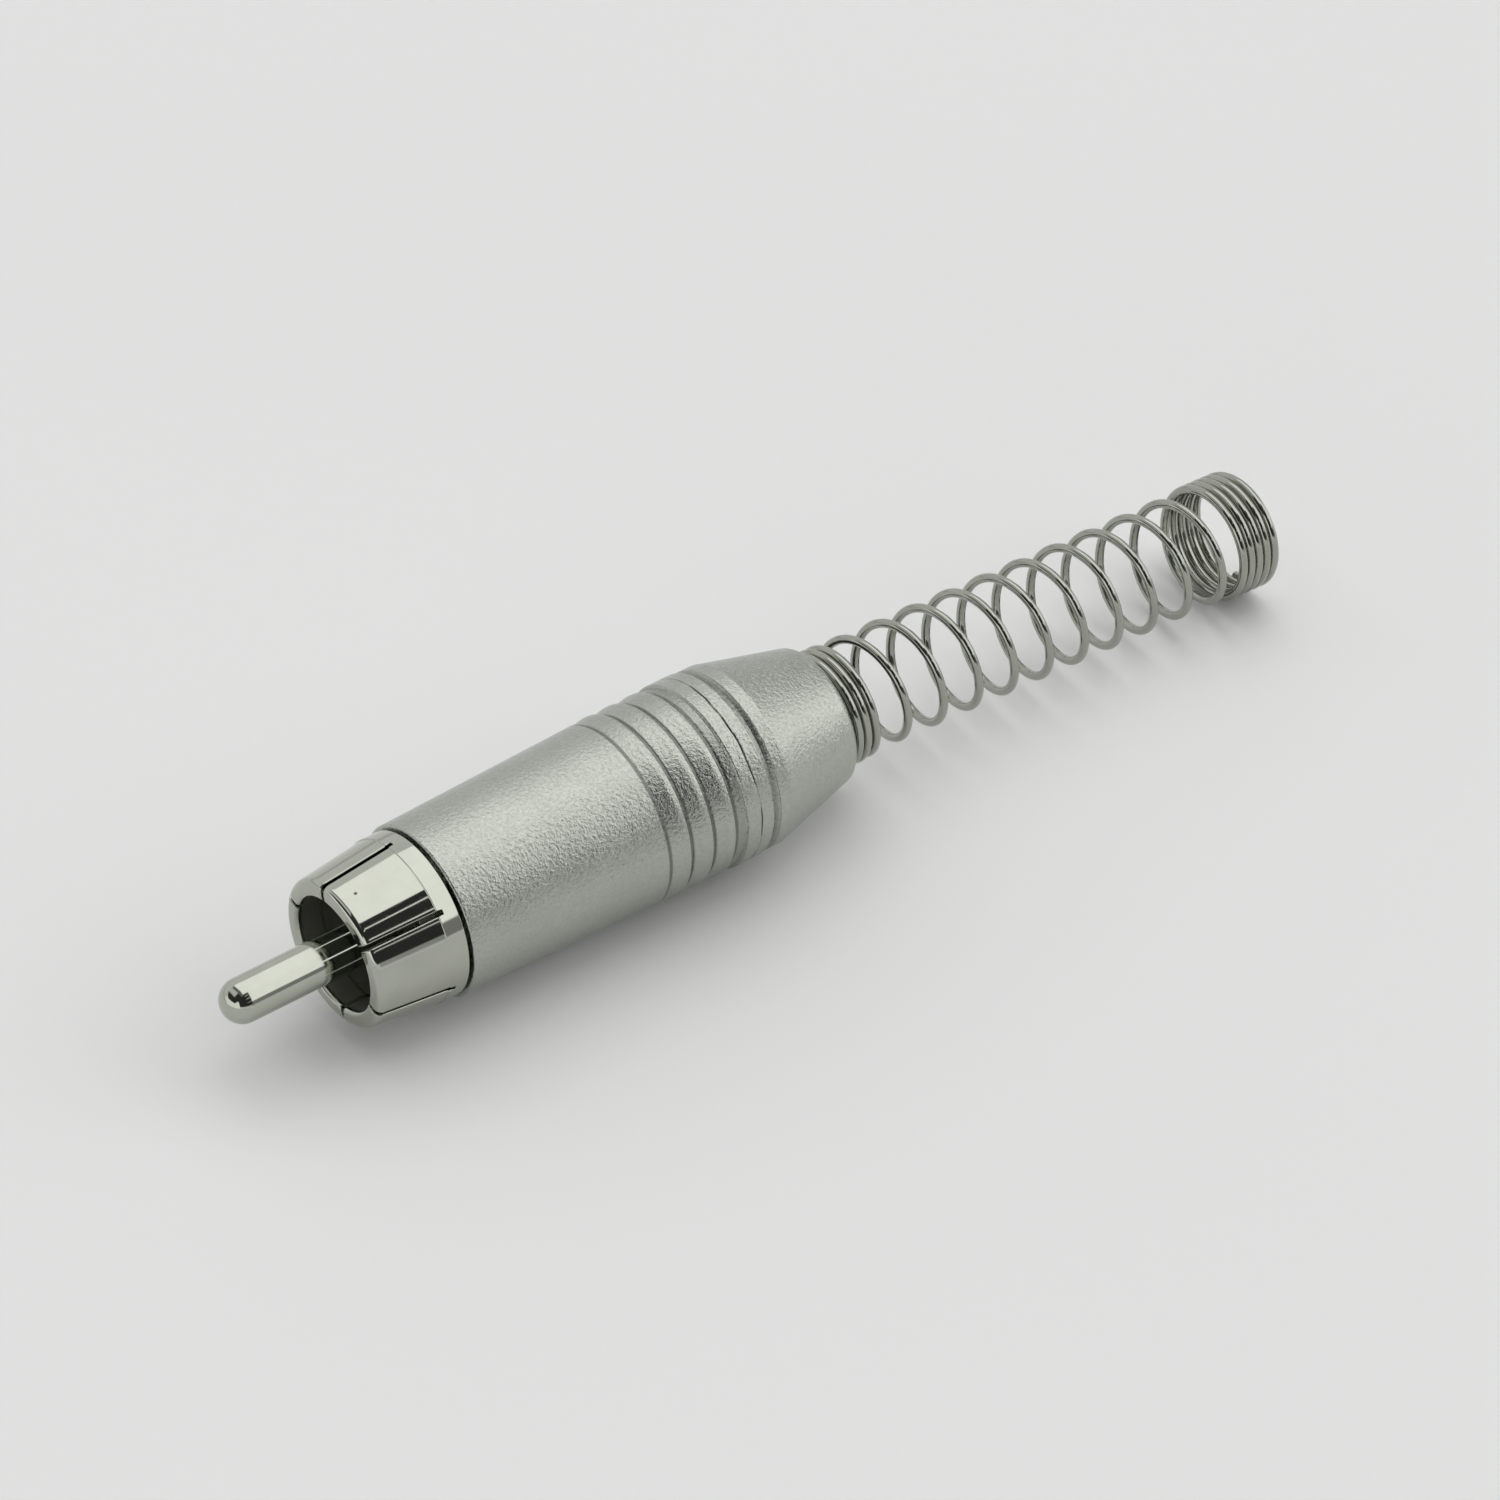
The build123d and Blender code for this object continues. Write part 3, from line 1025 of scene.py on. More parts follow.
@dataclass
class GroundCollar:
    """The tapered collar that grips the jack: six petals, a flange and the threaded neck."""

    mouth_radius: float = 5.35
    waist_radius: float = 5.93
    taper: float = 5.4
    flange_radius: float = 6.0
    flange_rear: float = 6.88
    flange_edge: float = 0.12
    lip_bore: float = 4.15
    lip_length: float = 2.0
    relief_bore: float = 4.5
    relief_rear: float = 6.73
    rim_outer: float = 0.55
    rim_inner: float = 0.3
    neck_radius: float = 5.0
    neck_bore: float = 3.3
    neck_end: float = 12.88
    undercut_radius: float = 4.65
    undercut_rear: float = 7.38
    petals: int = 6
    slot_width: float = 0.36
    slot_end: float = 5.85
    slot_phase: float = 138.7
    edge_round: float = 0.08
    edge_steps: int = 3
    edge_gap: float = 1e-4
    petal_columns: int = 40
    edge_fade: float = 0.35
    neck_bevel: float = 0.3

    def outline(self) -> list[Point]:
        """The collar's half section: inside from the slots' end forward, round the rim and back.

        Returns:
            Its points.
        """
        lip_rear = self.lip_length + self.relief_bore - self.lip_bore
        section = Outline(arc_steps=9)
        section.to(self.slot_end, self.relief_bore)
        section.to(lip_rear, self.relief_bore)
        section.to(self.lip_length, self.lip_bore, 0.06)
        section.to(0, self.lip_bore, self.rim_inner)
        section.to(0, self.mouth_radius, self.rim_outer)
        section.to(self.taper, self.waist_radius, 0.03)
        section.to(self.taper + 0.04, self.flange_radius, 0.04)
        section.to(self.slot_end, self.flange_radius)
        section.to(self.flange_rear, self.flange_radius, self.flange_edge)
        section.to(self.flange_rear, self.undercut_radius, 0.08)
        section.to(self.undercut_rear, self.undercut_radius, 0.06)
        section.to(self.undercut_rear + 0.05, self.neck_radius)
        for place, radius in NECK_THREAD.rows(self.neck_radius):
            bevel = max(0.0, place - self.neck_end + self.neck_bevel)
            section.to(place, min(radius, self.neck_radius - bevel))
        section.to(self.neck_end, self.neck_bore, 0.1)
        section.to(self.relief_rear, self.neck_bore, 0.05)
        section.to(self.relief_rear, self.relief_bore, 0.05)
        return section.points()

    def build(self, finish: Finish) -> Piece:
        """Make the collar and seat it on the plug's body.

        Args:
            finish: The collar's finish.

        Returns:
            The collar.
        """
        points = self.outline()
        inward = self._inward(points)
        count, last = len(points), self._slot_rows(points)
        verts: list[Vector] = []
        grid: list[list[int]] = []
        for index, (place, radius) in enumerate(points):
            depth = self.edge_round * self._edge_share(place) if index <= last else 0.0
            row = []
            for drop, angle in self._columns(radius, depth):
                x = place + inward[index][0] * drop
                reach = radius + inward[index][1] * drop
                reach -= self._thread(place, radius, angle)
                row.append(len(verts))
                verts.append(Vector((x, reach * cos(angle), reach * sin(angle))))
            grid.append(row)
        columns = len(grid[0])
        per_petal = columns // self.petals
        faces: list[tuple[int, ...]] = []
        for index in range(count):
            following = (index + 1) % count
            for column in range(columns):
                in_slot = column % per_petal == per_petal - 1
                if in_slot and index < last:
                    continue
                beside = (column + 1) % columns
                row, after = grid[index], grid[following]
                faces.append((row[column], row[beside], after[beside], after[column]))
        for petal in range(self.petals):
            left = petal * per_petal
            right = left + per_petal - 1
            following = (right + 1) % columns
            faces.append(tuple(grid[i][left] for i in range(last + 1)))
            faces.append(tuple(grid[i][right] for i in reversed(range(last + 1))))
            faces.append((grid[0][right], grid[0][following], grid[last][following], grid[last][right]))
        collar = MeshWork.made("slotted_collar", verts, faces)
        finish.put_on(collar)
        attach(collar, Carrier.PLUG.value)
        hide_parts("ground_collar")
        return collar

    def _slot_rows(self, points: list[Point]) -> int:
        """How far the slots reach along the outline.

        Args:
            points: The outline, which starts at the slots' end inside the collar.

        Returns:
            The number of its point at the slots' end on the outside.
        """
        outside = (i for i, (place, radius) in enumerate(points) if radius > self.mouth_radius)
        return next(i for i in outside if points[i][0] >= self.slot_end - 1e-6)

    def _inward(self, points: list[Point]) -> list[Point]:
        """For each point of the outline, the way into the metal.

        Args:
            points: The outline.

        Returns:
            The ways, as unit steps along the axis and outwards.
        """
        ways = []
        for index in range(len(points)):
            before, after = points[index - 1], points[(index + 1) % len(points)]
            run = (Vector(after) - Vector(before)).normalized()
            ways.append((run.y, -run.x))
        return ways

    def _edge_share(self, place: float) -> float:
        """How much of the edge rounding is left, which fades out at the slots' end."""
        return 1 - smooth_step(place, self.slot_end - self.edge_fade, self.slot_end - 0.02)

    def _columns(self, radius: float, depth: float) -> list[tuple[float, float]]:
        """The columns around one row of the outline.

        Args:
            radius: The row's radius.
            depth: The radius of the slots' edge rounding there.

        Returns:
            For each column how far it is sunk, and its angle.
        """
        result = []
        edges = []
        for step in range(self.edge_steps + 1):
            turn = radians(90 * (1 - step / self.edge_steps))
            away = self.slot_width / 2 + depth * (1 - sin(turn)) + self.edge_gap * step
            edges.append((depth * (1 - cos(turn)), asin(min(away / radius, 1.0))))
        for petal in range(self.petals):
            first = radians(self.slot_phase) + tau * petal / self.petals
            last = first + tau / self.petals
            result += [(drop, first + turn) for drop, turn in edges]
            start, stop = first + edges[-1][1], last - edges[-1][1]
            for column in range(1, self.petal_columns):
                result.append((0.0, start + (stop - start) * column / self.petal_columns))
            result += [(drop, last - turn) for drop, turn in reversed(edges)]
        return result

    def _thread(self, place: float, radius: float, angle: float) -> float:
        """How deep the neck's thread is cut there."""
        outside = radius > self.undercut_radius and place > self.undercut_rear
        return NECK_THREAD.cut(place, angle) if outside else 0.0


@dataclass
class Shell:
    """The screwed shell: a plain barrel, three narrow rings, a wide ring, a groove, a shoulder and a cone."""

    # The mesh attribute that holds the score's depth, from which the finish paints shade into the score.
    PAINTED_SCORE_SHADE = "painted_score_shade"

    front: float = 7.08
    front_radius: float = 6.24
    front_edge: float = 0.16
    barrel_end: float = 22.9
    barrel_radius: float = 6.63
    rings: int = 3
    ring_width: float = 1.85
    ring_radius: float = 6.73
    groove_radius: float = 6.54
    valley: float = 0.85
    wide_width: float = 2.1
    wide_radius: float = 6.774
    wide_edge: float = 0.16
    tail_groove: float = 0.7
    shoulder_width: float = 0.95
    shoulder_radius: float = 6.69
    cone_length: float = 6.95
    cone_radius: float = 4.99
    rear_edge: float = 0.68
    neck_bore: float = 4.42
    neck_length: float = 3.0
    bore: float = 5.2
    thread_bore: float = 5.05
    thread_rear: float = 13.48
    columns: int = 256
    ring_shift: float = 0.13
    ring_crest: float = 1.12
    groove_width: float = 0.34
    notch_depth: float = 0.09
    score_depth: float = 0.06
    score_half: float = 0.16
    score_rows: int = 9
    crease: float = 40.0
    arc_steps: int = 7
    tool_nose: float = 0.04
    corner: float = 0.05
    mouth_round: float = 0.12
    ring_round: float = 1.4
    ring_drop: float = 0.03
    ring_fall: float = 0.06
    shoulder_round: float = 0.5

    @property
    def wide_front(self) -> float:
        """Where the wide ring begins."""
        return self.barrel_end + self.rings * self.ring_width + self.valley

    @property
    def rear(self) -> float:
        """Where the shell ends."""
        lengths = self.wide_width, self.tail_groove, self.shoulder_width, self.cone_length
        return self.wide_front + sum(lengths)

    @property
    def score_place(self) -> float:
        """The middle of the wide ring, where the score runs around."""
        return self.wide_front + self.wide_width * 0.52

    def outline(self) -> Outline:
        """The shell's half section, outside from the front back and inside forward again.

        Returns:
            The outline.
        """
        wide_rear = self.wide_front + self.wide_width
        shoulder = wide_rear + self.tail_groove
        shoulder_rear = shoulder + self.shoulder_width
        section = Outline(arc_steps=self.arc_steps)
        section.to(self.front, self.thread_bore, self.mouth_round)
        section.to(self.front, self.front_radius, self.front_edge)
        section.to(self.barrel_end + self.ring_shift - self.corner, self.barrel_radius, self.tool_nose)
        floor = self.groove_radius - self.notch_depth
        for index in range(self.rings):
            start = self.barrel_end + self.ring_shift + index * self.ring_width
            fall = start + self.ring_width - self.groove_width
            section.to(start, self.groove_radius - self.tool_nose, self.corner)
            section.to(start + self.ring_crest, self.ring_radius, self.ring_round)
            section.to(fall, self.ring_radius - self.ring_drop, 2 * self.corner)
            section.to(fall + self.ring_fall, floor, self.tool_nose)
            section.to(start + self.ring_width - self.corner, floor, self.tool_nose)
        valley = self.wide_front - self.valley + self.ring_shift
        section.to(valley + 0.1, self.groove_radius - self.ring_drop, self.corner)
        section.to(self.wide_front - 0.10, self.groove_radius + self.tool_nose, 0.06)
        section.to(self.wide_front + 0.02, self.wide_radius, self.wide_edge)
        for row in range(self.score_rows):
            away = self.score_half * (2 * row / (self.score_rows - 1) - 1)
            section.to(self.score_place + away, self.wide_radius)
        section.to(wide_rear, self.wide_radius, self.wide_edge)
        section.to(wide_rear + 0.12, self.groove_radius - 0.06, self.corner)
        section.to(shoulder - 0.30, self.groove_radius - 0.10, self.corner)
        section.to(shoulder - self.tool_nose, self.groove_radius + 0.06, self.tool_nose)
        section.to(shoulder, self.shoulder_radius, 0.08)
        section.to(shoulder_rear, self.shoulder_radius, self.shoulder_round)
        section.to(self.rear, self.cone_radius, self.rear_edge)
        section.to(self.rear, self.neck_bore, self.mouth_round)
        section.to(self.rear - self.neck_length, self.neck_bore)
        section.to(self.rear - self.neck_length, self.bore, 0.1)
        section.to(self.thread_rear, self.bore, self.corner)
        for place, radius in reversed(SHELL_THREAD.rows(self.thread_bore)):
            section.to(place, radius)
        return section

    def surface(self, place: float, radius: float, angle: float) -> float:
        """The radius with the inner thread's ridges and the outer score worked in.

        Args:
            place: The point's place on the axis.
            radius: The outline's radius there.
            angle: The point's angle around the axis, in radians.

        Returns:
            The radius.
        """
        if radius < self.bore + 0.01 and place < self.thread_rear:
            return radius - SHELL_THREAD.cut(place, angle)
        if abs(place - self.score_place) < self.score_half * 0.99 and radius > self.wide_radius - 0.02:
            return radius - self._score(place, angle)
        return radius

    def _score(self, place: float, angle: float) -> float:
        """The broken hairline score round the wide ring, which wanders and comes and goes.

        Args:
            place: The point's place on the axis.
            angle: Its angle around the axis, in radians.

        Returns:
            How deep the score is there.
        """
        around = Vector((cos(angle), sin(angle), 0.0))
        wander = noise.noise(around * 5.0 + Vector((3.1, 0.4, 7.7))) * self.score_half * 0.5
        strength = noise.noise(around * 3.0 + Vector((0.0, 8.3, 1.9))) + 0.6 * noise.noise(around * 11.0)
        near = abs(place - self.score_place - wander)
        profile = 1 - smooth_step(near, self.score_half * 0.12, self.score_half * 0.45)
        return self.score_depth * profile * (0.3 + 0.7 * smooth_step(strength, -0.3, 0.15))

    def build(self, finish: Finish) -> Piece:
        """Make the shell and seat it on its own body.

        Args:
            finish: The shell's finish.

        Returns:
            The shell.
        """
        points = self.outline().points()
        shell = MeshWork.turned("screwed_shell", points, self.columns, self.surface, self.crease)
        self._mark_painted_score_shade(shell)
        finish.put_on(shell)
        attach(shell, Carrier.SHELL.value)
        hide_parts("shell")
        return shell

    def _mark_painted_score_shade(self, shell: Piece) -> None:
        """Write how deep the score is at each point of the mesh, so that the finish can paint shade into it.

        Args:
            shell: The shell.
        """
        painted_score_shade = shell.data.attributes.new(self.PAINTED_SCORE_SHADE, "FLOAT", "POINT")
        for vertex in shell.data.vertices:
            place, across, up = vertex.co / MM
            radius = hypot(across, up)
            if abs(place - self.score_place) < self.score_half and radius > self.groove_radius:
                painted_score_shade.data[vertex.index].value = (self.wide_radius - radius) / self.score_depth


@dataclass
class Spring:
    """The bend relief: one wire, held wide inside the shell, closed through its neck, open, closed again."""

    CHART = "wire_chart"

    wire: float = 0.638
    hold_front: float = 35.75
    hold_radius: float = 4.675
    neck_radius: float = 3.975
    open_radius: float = 3.87
    end_radius: float = 4.03
    hold_turns: float = 1.25
    inward_turns: float = 1.0
    blend_turns: float = 0.3
    open_turns: float = 10.03
    end_turns: float = 4.65
    closed_pitch: float = 0.7
    open_pitch: float = 3.11
    root_end: float = 42.17
    root_phase: float = 168.2
    droop: float = 4.0
    droop_length: float = 3.0
    steps_per_turn: int = 64
    sides: int = 16
    cap_steps: int = 4
    cap_length: float = 0.4
    crease: float = 60.0
    bend_front: float = 1.4
    bend_rear: float = 20.4

    def axis(self, along: float) -> tuple[float, float, float]:
        """The coil's centre line and its tilt at a distance along it.

        Args:
            along: The distance, which equals the place on the plug's axis up to the root's end.

        Returns:
            The centre's place, its height and the tilt in radians.
        """
        droop = radians(self.droop)
        bend = self.droop_length / droop
        if along <= self.root_end:
            return along, 0.0, 0.0
        if along <= self.root_end + self.droop_length:
            tilt = (along - self.root_end) / bend
            return self.root_end + bend * sin(tilt), -bend * (1 - cos(tilt)), tilt
        run = along - self.root_end - self.droop_length
        corner = self.root_end + bend * sin(droop), -bend * (1 - cos(droop))
        return corner[0] + run * cos(droop), corner[1] - run * sin(droop), droop

    def stages(self) -> list[tuple[float, float, float, float]]:
        """The stages of the wire's coils.

        Returns:
            For each its turns, its pitch, and the coil's radius at its start and its end.
        """
        hold_rear = self.hold_front + self.hold_turns * self.closed_pitch
        neck_turns = (self.root_end - hold_rear) / self.closed_pitch
        blend_pitch = (self.closed_pitch + self.open_pitch) / 2
        return [
            (self.hold_turns, self.closed_pitch, self.hold_radius, self.hold_radius),
            (self.inward_turns, 0.0, self.hold_radius, self.neck_radius),
            (neck_turns, self.closed_pitch, self.neck_radius, self.neck_radius),
            (self.blend_turns, blend_pitch, self.neck_radius, self.open_radius),
            (self.open_turns, self.open_pitch, self.open_radius, self.open_radius),
            (self.blend_turns, blend_pitch, self.open_radius, self.end_radius),
            (self.end_turns, self.closed_pitch, self.end_radius, self.end_radius),
        ]

    def line(self) -> list[tuple[Vector, Vector]]:
        """The wire's centre line.

        Returns:
            Its points, each with the way out from the coil's own centre.
        """
        stages = self.stages()
        angle = self.root_phase - 360 * sum(turns for turns, *_ in stages[:3])
        along = self.hold_front
        result = []
        for index, (turns, pitch, first, last) in enumerate(stages):
            steps = max(2, round(turns * self.steps_per_turn))
            stop = steps + 1 if index == len(stages) - 1 else steps
            for step in range(stop):
                share = step / steps
                turn = radians(angle + 360 * turns * share)
                x, z, tilt = self.axis(along + share * turns * pitch)
                radius = first + (last - first) * share
                out = Vector((sin(turn) * sin(tilt), cos(turn), sin(turn) * cos(tilt)))
                result.append((Vector((x, 0, z)) + out * radius, out))
            along += turns * pitch
            angle += 360 * turns
        return result

    def build(self, finish: Finish) -> Piece:
        """Make the round wire along its coils, with a fixed droop behind the shell.

        Args:
            finish: The wire's finish.

        Returns:
            The spring.
        """
        line = self.line()
        verts: list[Vector] = []
        rings: list[list[int]] = []
        reach = [0.0]
        for (before, _), (after, _) in zip(line, line[1:]):
            reach.append(reach[-1] + (after - before).length)
        charted = []
        for index, (here, out) in enumerate(line):
            ahead = line[min(index + 1, len(line) - 1)][0] - line[max(index - 1, 0)][0]
            ahead.normalize()
            for back, shrink in self._cap(index, len(line)):
                rings.append(self._ring(verts, here + ahead * back, ahead, out, shrink))
                charted.append(reach[index] + back)
        faces = []
        for first, second in zip(rings, rings[1:]):
            for side in range(self.sides):
                beside = (side + 1) % self.sides
                faces.append((first[side], first[beside], second[beside], second[side]))
        faces.append(tuple(reversed(rings[0])))
        faces.append(tuple(rings[-1]))
        spring = MeshWork.made("relief_spring", verts, faces, self.crease)
        self._chart(spring, charted)
        finish.put_on(spring)
        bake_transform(spring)
        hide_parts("spring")
        return spring

    def _cap(self, index: int, count: int) -> list[tuple[float, float]]:
        """The rings at one point of the line: one in its length, and a rounded end at each tip.

        Args:
            index: The point's number.
            count: How many points the line has.

        Returns:
            For each ring how far ahead it lies and its share of the wire's radius.
        """
        length = self.wire / 2 * self.cap_length
        turns = [radians(90 * step / self.cap_steps) for step in range(self.cap_steps)]
        if index == 0:
            return [(length * (1 - sin(turn)), cos(turn) * 0.999) for turn in reversed(turns)]
        if index == count - 1:
            return [(-length * (1 - sin(turn)), cos(turn) * 0.999) for turn in turns]
        return [(0.0, 1.0)]

    def _ring(
        self, verts: list[Vector], centre: Vector, ahead: Vector, out: Vector, shrink: float
    ) -> list[int]:
        """Add one ring of the wire's surface.

        Args:
            verts: The surface's points, which the ring's are added to.
            centre: The ring's middle.
            ahead: The way along the wire.
            out: The way out from the coil's centre.
            shrink: The ring's share of the wire's radius.

        Returns:
            The numbers of the ring's points.
        """
        across = (out - ahead * out.dot(ahead)).normalized()
        beside = ahead.cross(across)
        first = len(verts)
        for side in range(self.sides):
            turn = tau * side / self.sides
            way = across * cos(turn) + beside * sin(turn)
            verts.append(centre + way * (self.wire / 2 * shrink))
        return list(range(first, first + self.sides))

    def _chart(self, spring: Piece, charted: list[float]) -> None:
        """Give the wire's surface its own coordinates: millimetres along it, and the turn around it.

        Args:
            spring: The spring.
            charted: How far along the wire each ring lies.
        """
        chart = spring.data.uv_layers.new(name=self.CHART)
        for face in spring.data.polygons:
            turns = [spring.data.loops[i].vertex_index % self.sides for i in face.loop_indices]
            wraps = max(turns) - min(turns) > self.sides / 2
            for loop, turn in zip(face.loop_indices, turns):
                ring = spring.data.loops[loop].vertex_index // self.sides
                share = (turn + (self.sides if wraps and turn < self.sides / 2 else 0)) / self.sides
                chart.data[loop].uv = charted[ring], share


@dataclass
class Insides:
    """The pieces inside the shell: insulator, washer, ground lug and liner."""

    insulators: tuple[str, ...] = ("insulator", "rear_washer")
    lug: str = "ground_lug"
    liner: str = "liner"

    def dress(self, black: Finish, tinned: Finish, natural: Finish) -> list[Piece]:
        """Give the inner solids their finishes.

        Args:
            black: The insulators' plastic.
            tinned: The lug's tinned sheet.
            natural: The liner's plastic.

        Returns:
            The dressed solids.
        """
        finishes = {name: black for name in self.insulators} | {self.lug: tinned, self.liner: natural}
        for name, finish in finishes.items():
            finish.put_on(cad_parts[name])
        return [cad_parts[name] for name in finishes]


class Gauge(Enum):
    """What a panel's limit is measured by."""

    ACROSS = "the direction's share along X"
    AZIMUTH = "degrees from the near side towards +X"
    HEIGHT = "degrees above the floor"
    AWAY = "distance behind the plug over the height, on a ceiling"
    SIDE = "distance towards +X over the height, on a ceiling"
    BEHIND = "the direction's share along Y"


@dataclass(frozen=True)
class Panel:
    """A patch of the light tent.

    Attributes:
        level: Its brightness.
        limits: What it is measured by, its least and largest value, and how soft its edges are.
            None leaves that end open.
    """

    level: float
    limits: tuple[tuple[Gauge, float | None, float | None, float], ...]


def light_strip(height: float, width: float, level: float) -> Panel:
    """A thin bright strip across the tent's opening.

    Args:
        height: The height of its middle, in degrees.
        width: Its width, in degrees.
        level: Its brightness.

    Returns:
        The strip as a panel.
    """
    limits = (
        (Gauge.ACROSS, -0.1, 0.30, 0.02),
        (Gauge.AZIMUTH, -90, 90, 2),
        (Gauge.HEIGHT, height - width / 2, height + width / 2, 0.6),
    )
    return Panel(level, limits)


@dataclass
class Studio:
    """A pale floor, a light tent with its opening beside the camera, and the camera itself."""

    aim: tuple[float, float, float] = (34.187, -0.391, 0.153)
    distance: float = 540.7
    azimuth: float = -37.413
    elevation: float = 41.256
    roll: float = 0.25
    lens: float = 192.0
    sensor: float = 36.0
    floor_size: float = 6.0
    floor_colour: Colour = (0.95, 0.95, 0.945)
    floor_roughness: float = 0.65
    floor_shade: float = 0.985
    floor_mottle: Grain = Grain(0.02, 0.0, 0.5)
    floor_parts: int = 8
    near_clip: float = 0.01
    far_clip: float = 50.0
    wall_level: float = 0.80
    panels: tuple[Panel, ...] = (
        Panel(1.22, (
            (Gauge.ACROSS, None, -0.68, 0.16), (Gauge.AZIMUTH, -130, 0, 10), (Gauge.HEIGHT, 0, None, 4),
        )),
        Panel(0.60, ((Gauge.BEHIND, 0.4, None, 0.2), (Gauge.HEIGHT, -4, 6, 4))),
        Panel(0.45, ((Gauge.AZIMUTH, 88, 135, 12), (Gauge.HEIGHT, 12, 44, 6))),
        Panel(1.46, ((Gauge.AZIMUTH, 18, 86, 8), (Gauge.HEIGHT, 4, None, 3))),
        Panel(0.30, ((Gauge.AZIMUTH, 12, 46, 6), (Gauge.HEIGHT, 2.5, 20, 3))),
        Panel(0.04, (
            (Gauge.ACROSS, -0.70, 0.29, 0.03), (Gauge.AZIMUTH, -90, 90, 2), (Gauge.HEIGHT, 8.5, None, 1.5),
        )),
        Panel(0.20, (
            (Gauge.SIDE, -0.40, -0.14, 0.10), (Gauge.AWAY, -0.5, 1.0, 0.14), (Gauge.HEIGHT, 30, None, 5),
        )),
        Panel(0.04, (
            (Gauge.SIDE, -2.5, -0.95, 0.2), (Gauge.AWAY, -0.8, 1.4, 0.2), (Gauge.HEIGHT, 16, None, 6),
        )),
        light_strip(57.4, 1.7, 1.15),
        light_strip(42.5, 1.7, 1.25),
        light_strip(25.6, 1.5, 0.85),
        Panel(1.50, (
            (Gauge.AWAY, -0.37, 0.95, 0.02), (Gauge.SIDE, -0.15, 1.0, 0.03), (Gauge.HEIGHT, 25, None, 6),
        )),
    )

    def build(self) -> None:
        """Set up the camera, the floor and the light."""
        self._colours()
        self._camera()
        self._floor()
        self._tent()

    @staticmethod
    def _colours() -> None:
        """Show colours as they are, as on a product photograph."""
        bpy.context.scene.view_settings.view_transform = "Standard"

    def _camera(self) -> None:
        """Place the camera at the photograph's angle."""
        turn, rise = radians(self.azimuth), radians(self.elevation)
        back = Vector((sin(turn) * cos(rise), -cos(turn) * cos(rise), sin(rise)))
        data = bpy.data.cameras.new("camera")
        data.lens = self.lens
        data.sensor_width = self.sensor
        data.clip_start, data.clip_end = self.near_clip, self.far_clip
        camera = bpy.data.objects.new("camera", data)
        bpy.context.scene.collection.objects.link(camera)
        level = Vector((0, 0, 1)).cross(back).normalized()
        side = Matrix.Rotation(radians(self.roll), 3, back) @ level
        up = back.cross(side)
        matrix = Matrix((side, up, back)).transposed().to_4x4()
        matrix.translation = (Vector(self.aim) + back * self.distance) * MM
        camera.matrix_world = matrix
        bpy.context.scene.camera = camera

    def _floor(self) -> None:
        """Lay the pale floor under the plug."""
        level = cad_box[0][2]
        mesh = bpy.data.meshes.new("floor")
        work = bmesh.new()
        parts = self.floor_parts
        bmesh.ops.create_grid(work, x_segments=parts, y_segments=parts, size=self.floor_size / 2)
        bmesh.ops.translate(work, verts=work.verts, vec=(0, 0, level))
        work.to_mesh(mesh)
        work.free()
        floor = bpy.data.objects.new("floor", mesh)
        bpy.context.scene.collection.objects.link(floor)
        sheet = Sheet("pale_floor")
        sheet.set(Roughness=self.floor_roughness)
        mottle = sheet.noise(sheet.place(), self.floor_mottle)
        darker = tuple(c * self.floor_shade for c in self.floor_colour)
        sheet.drive("Base Color", sheet.mixed(mottle, darker, self.floor_colour))
        mesh.materials.append(sheet.material)

    def _tent(self) -> None:
        """Light the scene from all around, by the direction that each patch of the tent lies in."""
        world = bpy.data.worlds.new("light_tent")
        world.use_nodes = True
        bpy.context.scene.world = world
        tent = TentSheet(world)
        level: object = self.wall_level
        for panel in self.panels:
            level = tent.laid(level, tent.mask(panel), panel.level)
        tent.light(level)


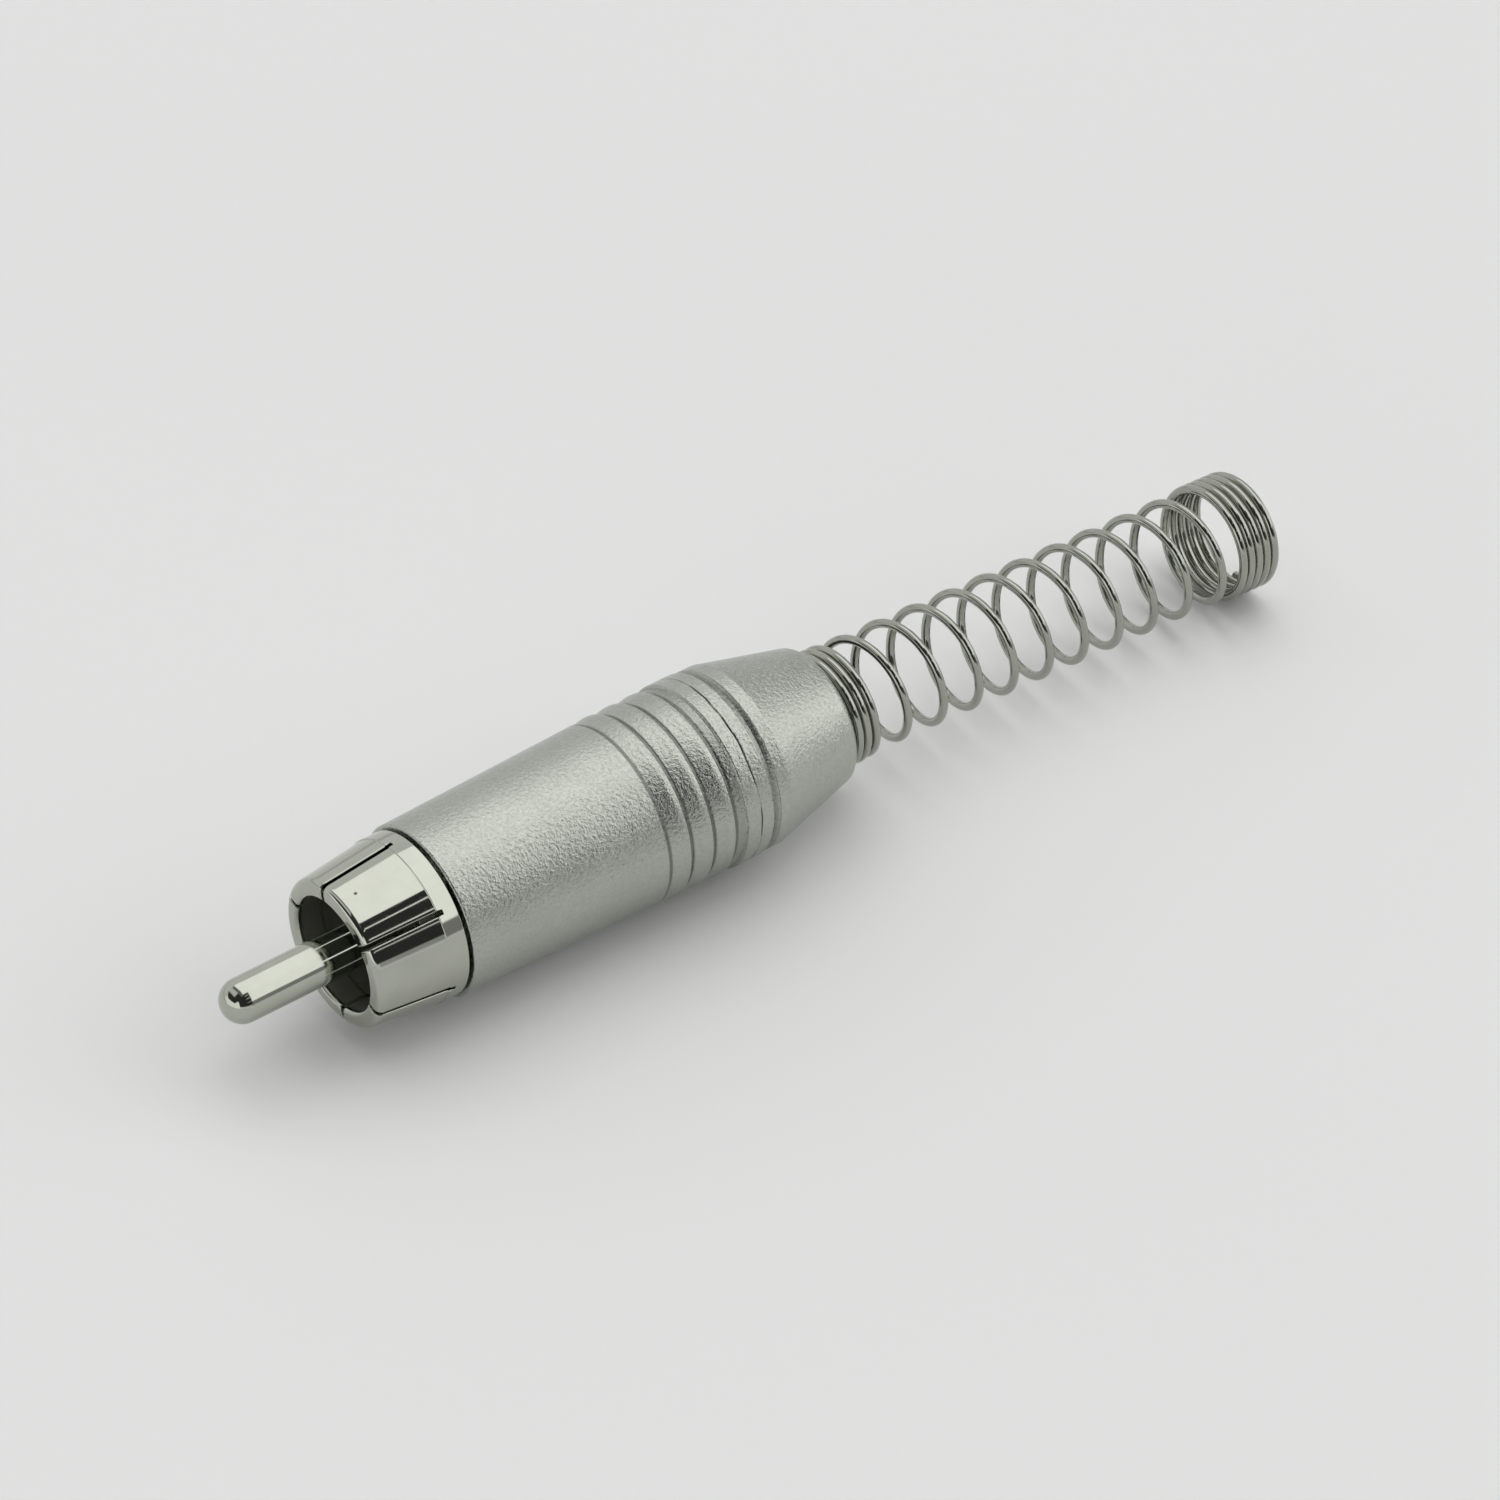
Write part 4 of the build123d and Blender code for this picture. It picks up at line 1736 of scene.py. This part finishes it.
class TentSheet(Sheet):
    """The light tent's nodes: where a direction points, and how bright the tent is there."""

    def __init__(self, world: bpy.types.World) -> None:
        """Work out what the direction measures by each gauge.

        Args:
            world: The world that holds the tent.
        """
        self.nodes = world.node_tree.nodes
        self.links = world.node_tree.links
        self.background = self.nodes["Background"]
        way = self.parts(self.node("ShaderNodeTexCoord").outputs["Generated"])
        around = self.math("ARCTAN2", way["X"], self.math("MULTIPLY", way["Y"], -1.0))
        self.gauges = {
            Gauge.ACROSS: way["X"],
            Gauge.AZIMUTH: self.math("DEGREES", around),
            Gauge.HEIGHT: self.math("DEGREES", self.math("ARCSINE", way["Z"])),
            Gauge.AWAY: self.math("DIVIDE", way["Y"], way["Z"]),
            Gauge.SIDE: self.math("DIVIDE", way["X"], way["Z"]),
            Gauge.BEHIND: way["Y"],
        }

    def mask(self, panel: Panel) -> Socket:
        """The share, from 0 to 1, by which a direction lies in a panel.

        Args:
            panel: The panel.

        Returns:
            The share.
        """
        share: object = 1.0
        for gauge, low, high, soft in panel.limits:
            for limit, below in ((low, 0.0), (high, 1.0)):
                if limit is not None:
                    edge = Ramp(limit - soft / 2, limit + soft / 2, below, 1.0 - below)
                    step = self.spread(self.gauges[gauge], edge, "SMOOTHSTEP")
                    share = self.math("MULTIPLY", share, step)
        return share

    def laid(self, under: object, share: Socket, level: float) -> Socket:
        """Lay a panel's brightness over what is there already."""
        inputs = {"Factor": share, "A": under, "B": level}
        return self.filled("ShaderNodeMix", "Result", inputs, data_type="FLOAT")

    def light(self, level: Socket) -> None:
        """Let the tent give out this much light."""
        self.background.inputs["Color"].default_value = (1.0, 1.0, 1.0, 1.0)
        self.links.new(level, self.background.inputs["Strength"])


def report(piece: Piece) -> None:
    """Log a piece's name, its faces and its box in millimetres.

    Args:
        piece: The piece.
    """
    corners = [piece.matrix_world @ Vector(corner) for corner in piece.bound_box]
    ends = [[round(end(c[i] for c in corners) / MM, 3) for i in range(3)] for end in (min, max)]
    log.info("%s: %d faces, from %s to %s", piece.name, len(piece.data.polygons), *ends)


def main() -> None:
    """Build the studio and the plug's pieces in order, and report each."""
    logging.basicConfig(level=logging.INFO, format="%(message)s")
    Studio().build()
    polished = PolishedNickel(pit=(1.4, -0.955, 5.417), bore=4.5)
    pieces = [
        SignalPin().build(PolishedNickel(name="pin_nickel", roughness=0.085)),
        GroundCollar().build(polished),
        Shell().build(SatinNickel()),
        Spring().build(DrawnWire()),
    ]
    natural = MouldedPlastic("liner_plastic", "liner_plastic", (0.78, 0.78, 0.74), 0.36, 0.25)
    pieces += Insides().dress(MouldedPlastic(), TinnedBrass(), natural)
    for piece in pieces:
        report(piece)


if __name__ == "__main__":
    main()
